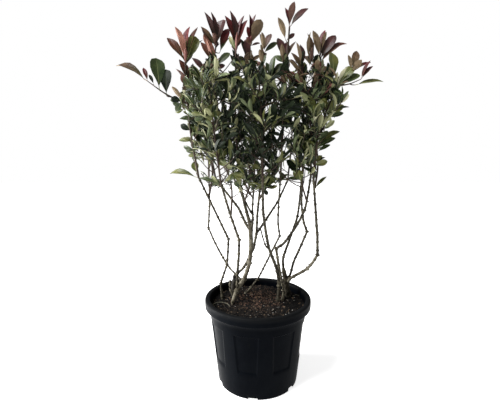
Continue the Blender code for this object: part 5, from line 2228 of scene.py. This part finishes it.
    def tuft_foot(self, mass: Mass, place: Vector) -> Vector:
        """Return where a tuft's twig leaves the leader, the limb or an earlier tuft's twig.

        Args:
            mass: The mass that it grows in.
            place: The tuft's place.

        Returns:
            The nearest point of that wood which lies low enough.
        """
        spots = []
        for path in (self.leaders[mass.name], self.stems.axes[mass.limb].path):
            spots += [point for point in resampled(path, self.limb_spots) if point.z < place.z
                      - self.foot_slope * math.hypot(point.x - place.x, point.y - place.y)]
        for twig in self.tuft_twigs.get(mass.name, []):
            spots += [point for point in resampled(twig, self.spot_gap)
                      if point.z < place.z + self.foot_above]
        return min(spots or [self.leaders[mass.name][0]], key=lambda point: (point - place).length)

    def blade_seat(self, place: Vector, root: Vector, blade: Blade, rng: Random) -> Seat:
        """Return the seat of a marked leaf, with its tip and its width seen as they are marked.

        Args:
            place: The tuft's place, or the place below it that the leaf is measured from.
            root: Where the leaf leaves the twig.
            blade: The marked leaf.
            rng: The source of its slope towards the camera or away from it.

        Returns:
            The seat.
        """
        lean = math.radians(blade.lean)
        toward = -1.0 if blade.pale else 1.0
        mark = place + Vector((math.sin(lean), 0.0, math.cos(lean))) * blade.length * MM
        depth = toward * blade.length * MM * math.sin(math.radians(rng.uniform(*self.blade_slope)))
        aim = self.eye + (mark - self.eye) * (1 + depth / (mark.y - self.eye.y)) - root
        inner = Vector((-math.cos(lean), 0.0, math.sin(lean))) * math.copysign(1.0, blade.lean)
        shape = LEAF_SHAPES[blade.form()]
        ahead, above = shape.spine(1.0)
        length = aim.length / math.hypot(ahead, above)
        aim.normalize()
        turn = math.acos(min(blade.width * MM / (shape.width * length), 1.0)) * self.blade_roll
        face = Vector((0.0, -toward, 0.0)) * math.cos(turn) + inner * math.sin(turn)
        face = (face - aim * face.dot(aim)).normalized()
        swing = math.atan2(above, ahead)
        start = aim * math.cos(swing) - face * math.sin(swing)
        wide = max(blade.width * MM / shape.width, length)
        return Seat(root, start, face, (wide, length, length), blade.form().value)

    def grow_tuft(self, mass: Mass, tuft: Tuft, rng: Random) -> None:
        """Set a tuft's leaves round the end of its twig, and draw the twig if it has one.

        Args:
            mass: The mass that it grows in.
            tuft: The tuft.
            rng: The source of its leaves' slopes, and of the leaves that fill it.
        """
        place = tuft.place
        twig = self.leaders[mass.name]
        if not tuft.crest:
            foot = self.tuft_foot(mass, place)
            twig = self.bowed(foot, place, UP, self.tuft_bow)
            stout, slender = self.shoot_radii
            self.add_wood(twig, (stout * (1 + (place - foot).length / self.stout_length), slender))
            self.tuft_twigs.setdefault(mass.name, []).append(twig)
        reach = path_lengths(twig)[-1]
        for index, blade in enumerate(tuft.blades):
            below = blade.drop * MM + self.blade_step * (index % self.blade_turn)
            root, _ = place_on(twig, max(1 - below / reach, 0.0))
            base = place - UP * blade.drop * MM
            self.seats[blade.tint].append(self.blade_seat(base, root, blade, rng))
        if len(tuft.blades) < self.full_tuft:
            return
        # A full tuft has more leaves behind those that are marked, and one in front
        for blade, side in zip(tuft.blades, self.filling_sides):
            across = rng.uniform(-self.filling_across, self.filling_across)
            aim = Vector((across, side * rng.uniform(*self.filling_depths), 1.0)).normalized()
            length = rng.uniform(*self.filling_sizes) * min(blade.length, self.filling_length) * MM
            root = place - UP * MM * rng.uniform(*self.filling_drops)
            wide = length if side > 0 else length * self.front_width
            self.seats[blade.tint].append(Seat(root, aim, Vector((0.0, -side, 1.0)), (wide, length, length),
                                               blade.form().value))

    def grow(self, mass: Mass) -> None:
        """Grow one mass: its shoots in a golden-angle spiral, their twigs, leaves and tufts."""
        rng = Random(mass.seed)
        leader = self.leaders[mass.name]
        for tuft in tufts_of(mass):
            self.grow_tuft(mass, tuft, rng)
        phase = rng.uniform(0.0, math.tau)
        shoots = mass.shoots + self.more_shoots
        lowest, highest = self.shoot_places
        for index in range(shoots):
            foot, along = place_on(leader, lowest + (highest - lowest) * index / (shoots - 1))
            spread = mass.spread * MM * rng.uniform(*self.shoot_sizes)
            self.grow_shoot(mass, foot, along, phase + index * GOLDEN_ANGLE, spread, rng)
        last = self.last_leaf if mass.crest < 0 else self.last_under_crest
        self.grow_leaves(mass, leader, self.leaves_on_leader, rng, last)

    def grow_shoot(self, mass: Mass, foot: Vector, along: Vector, turn: float, spread: float,
                   rng: Random) -> None:
        """Grow one shoot by the rule, with its finer twigs and leaves, where there is room.

        Args:
            mass: The mass that it grows in.
            foot: Where it leaves the leader.
            along: The leader's direction there.
            turn: Its angle round the leader.
            spread: How far it reaches out.
            rng: The source of its leaves.
        """
        outward = sideways(along, turn)
        for shrink in self.shoot_shrinks:
            tip = foot + (outward + along * self.shoot_rise + UP * self.shoot_lift) * spread * shrink
            if self.inside(mass, tip):
                break
        else:
            return
        shoot = self.bowed(foot, tip, outward, self.bow)
        leaves = self.grow_leaves(mass, shoot, self.leaves_on_shoot, rng, self.last_leaf)
        for number, share in enumerate(self.twigs_on_shoot):
            start, heading = place_on(shoot, share)
            away = sideways(heading, turn + (number + 1) * GOLDEN_ANGLE)
            length = (tip - foot).length * self.twig_share
            end = start + (away + heading * self.shoot_rise + UP * self.shoot_lift) * length
            if self.inside(mass, end):
                twig = self.bowed(start, end, away, self.bow)
                on_twig = self.grow_leaves(mass, twig, self.leaves_on_twig, rng, self.last_leaf)
                leaves += on_twig
                if on_twig:
                    self.add_wood(twig, self.twig_radii)
        if leaves:
            self.add_wood(shoot, self.shoot_radii)

    def build(self, effects: Effects, maker: Maker) -> list[Piece]:
        """Build the crown.

        Args:
            effects: The shared shader groups.
            maker: The maker of swept and sown meshes.

        Returns:
            The twigs, which replace the masses of foliage, and the leaves by tint.
        """
        for mass in MASSES:
            self.plan_leader(mass)
        for mass in MASSES:
            self.grow(mass)
        twigs = maker.sweep(self.tubes, TWIG_FINISH.material(effects), *self.wood_shape)
        pieces = [link_piece("crown_twigs", twigs, tuple(mass.name for mass in MASSES))]
        for tint, seats in self.seats.items():
            finish = LEAF_FINISHES[tint]
            materials = finish.materials(f"{tint.value}_leaf", effects)
            share = math.ceil(len(seats) / math.ceil(len(seats) / self.most_leaves))
            for first in range(0, len(seats), share):
                shapes = [LEAF_SHAPES[form].mesh() for form in Form]
                mesh = maker.sow(seats[first:first + share], shapes, materials)
                ending = f"_{first // share + 1}" if share < len(seats) else ""
                pieces.append(link_piece(f"{tint.value}_leaves{ending}", mesh))
            LOG.info("%s leaves: %d", tint.value, len(seats))
        return pieces


@dataclass
class Stage:
    """The pale floor, the soft lights, the white surround and the camera."""

    camera_place: tuple[float, float, float] = (-0.0225, -0.997, 0.662)
    camera_pitch: float = math.radians(82.0)
    lens: float = 26.15
    sensor: float = 36.0
    floor_size: float = 12.0
    floor_tones: tuple[Colour, Colour] = ((0.93, 0.93, 0.93), (0.96, 0.96, 0.96))
    floor_patches: Patches = (0.3, 2.0, 0.3, 0.7)
    floor_roughness: float = 0.9
    floor_specular: float = 0.1
    surround: float = 1.0
    fill: float = 0.24
    table_glow: float = 0.32
    table_seen: float = 0.75
    sun_power: float = 3.7
    sun_breadth: float = math.radians(26.0)
    sun_course: tuple[float, float, float] = (0.62, 0.38, -0.92)
    strip_place: tuple[float, float, float] = (-1.5, 0.15, 0.55)
    strip_size: Pair = (0.35, 1.3)
    strip_power: float = 56.0

    def floor(self, effects: Effects) -> Piece:
        """Make the floor, a faintly mottled light table that keeps shadows soft."""
        half = self.floor_size / 2
        mesh = bpy.data.meshes.new("pale_floor")
        mesh.from_pydata([(-half, -half, 0), (half, -half, 0), (half, half, 0), (-half, half, 0)], [],
                         [(0, 1, 2, 3)])
        surface = Surface("pale_floor_finish", effects)
        tone = surface.blend(surface.mottle(*self.floor_patches), *self.floor_tones)
        seen = surface.add("ShaderNodeLightPath").outputs["Is Camera Ray"]
        glow = surface.spread(seen, self.table_glow, self.table_seen)
        surface.fill(surface.shader, {"Base Color": tone, "Roughness": self.floor_roughness,
                                      "Specular IOR Level": self.floor_specular, "Emission Color": WHITE,
                                      "Emission Strength": glow})
        mesh.materials.append(surface.material)
        floor = put_in_scene("pale_floor", mesh)
        return floor

    def world(self) -> None:
        """Light everything softly from a white surround, which the camera sees at full white."""
        world = bpy.data.worlds.new("white_surround")
        world.use_nodes = True
        graph = Graph(world.node_tree)
        seen = graph.add("ShaderNodeLightPath").outputs["Is Camera Ray"]
        strength = graph.spread(seen, self.fill, self.surround)
        graph.fill(graph.tree.nodes["Background"], {"Color": WHITE, "Strength": strength})
        bpy.context.scene.world = world

    def lamp(self, name: str, kind: str, power: float, course: Vector) -> tuple[bpy.types.Light, Piece]:
        """Add a lamp that shines along a course, and return it with its object.

        Args:
            name: The lamp's name.
            kind: Its type in Blender.
            power: Its power.
            course: The way that it shines.

        Returns:
            The lamp and its object.
        """
        lamp = bpy.data.lights.new(name, kind)
        lamp.energy = power
        thing = put_in_scene(name, lamp)
        thing.rotation_euler = course.to_track_quat("-Z", "Y").to_euler()
        return lamp, thing

    def lights(self) -> None:
        """Add a broad soft sun from the upper left, and a tall soft lamp on the left for a sheen."""
        sun, _ = self.lamp("key_sun", "SUN", self.sun_power, Vector(self.sun_course))
        sun.angle = self.sun_breadth
        strip, thing = self.lamp("side_strip", "AREA", self.strip_power, -Vector(self.strip_place))
        strip.shape = "RECTANGLE"
        strip.size, strip.size_y = self.strip_size
        thing.location = self.strip_place
        thing.visible_camera = False

    def camera(self) -> None:
        """Place the camera at the photograph's viewing angle."""
        lens = bpy.data.cameras.new("view")
        lens.lens = self.lens
        lens.sensor_width = self.sensor
        camera = put_in_scene("view", lens)
        camera.location = self.camera_place
        camera.rotation_euler = (self.camera_pitch, 0.0, 0.0)
        bpy.context.scene.camera = camera

    def build(self, effects: Effects) -> list[Piece]:
        """Build the stage.

        Args:
            effects: The shared shader groups.

        Returns:
            The floor.
        """
        bpy.context.scene.view_settings.view_transform = "Standard"
        self.world()
        self.camera()
        self.lights()
        return [self.floor(effects)]


def main() -> None:
    """Build the plant and its stage."""
    logging.basicConfig(level=logging.INFO, format="%(message)s")
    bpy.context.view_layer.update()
    effects = Effects()
    maker = Maker()
    stage = Stage()
    stems = Stems()
    pieces = stage.build(effects)
    pieces += Pot().build(effects)
    pieces += Compost().build(effects, maker)
    pieces += stems.build(effects, maker)
    pieces += Crown(stems, Vector(stage.camera_place)).build(effects, maker)
    bpy.context.view_layer.update()
    for piece in pieces:
        triangles = sum(len(face.vertices) - 2 for face in piece.data.polygons)
        LOG.info("%s: %d triangles", piece.name, triangles)


if __name__ == "__main__":
    main()
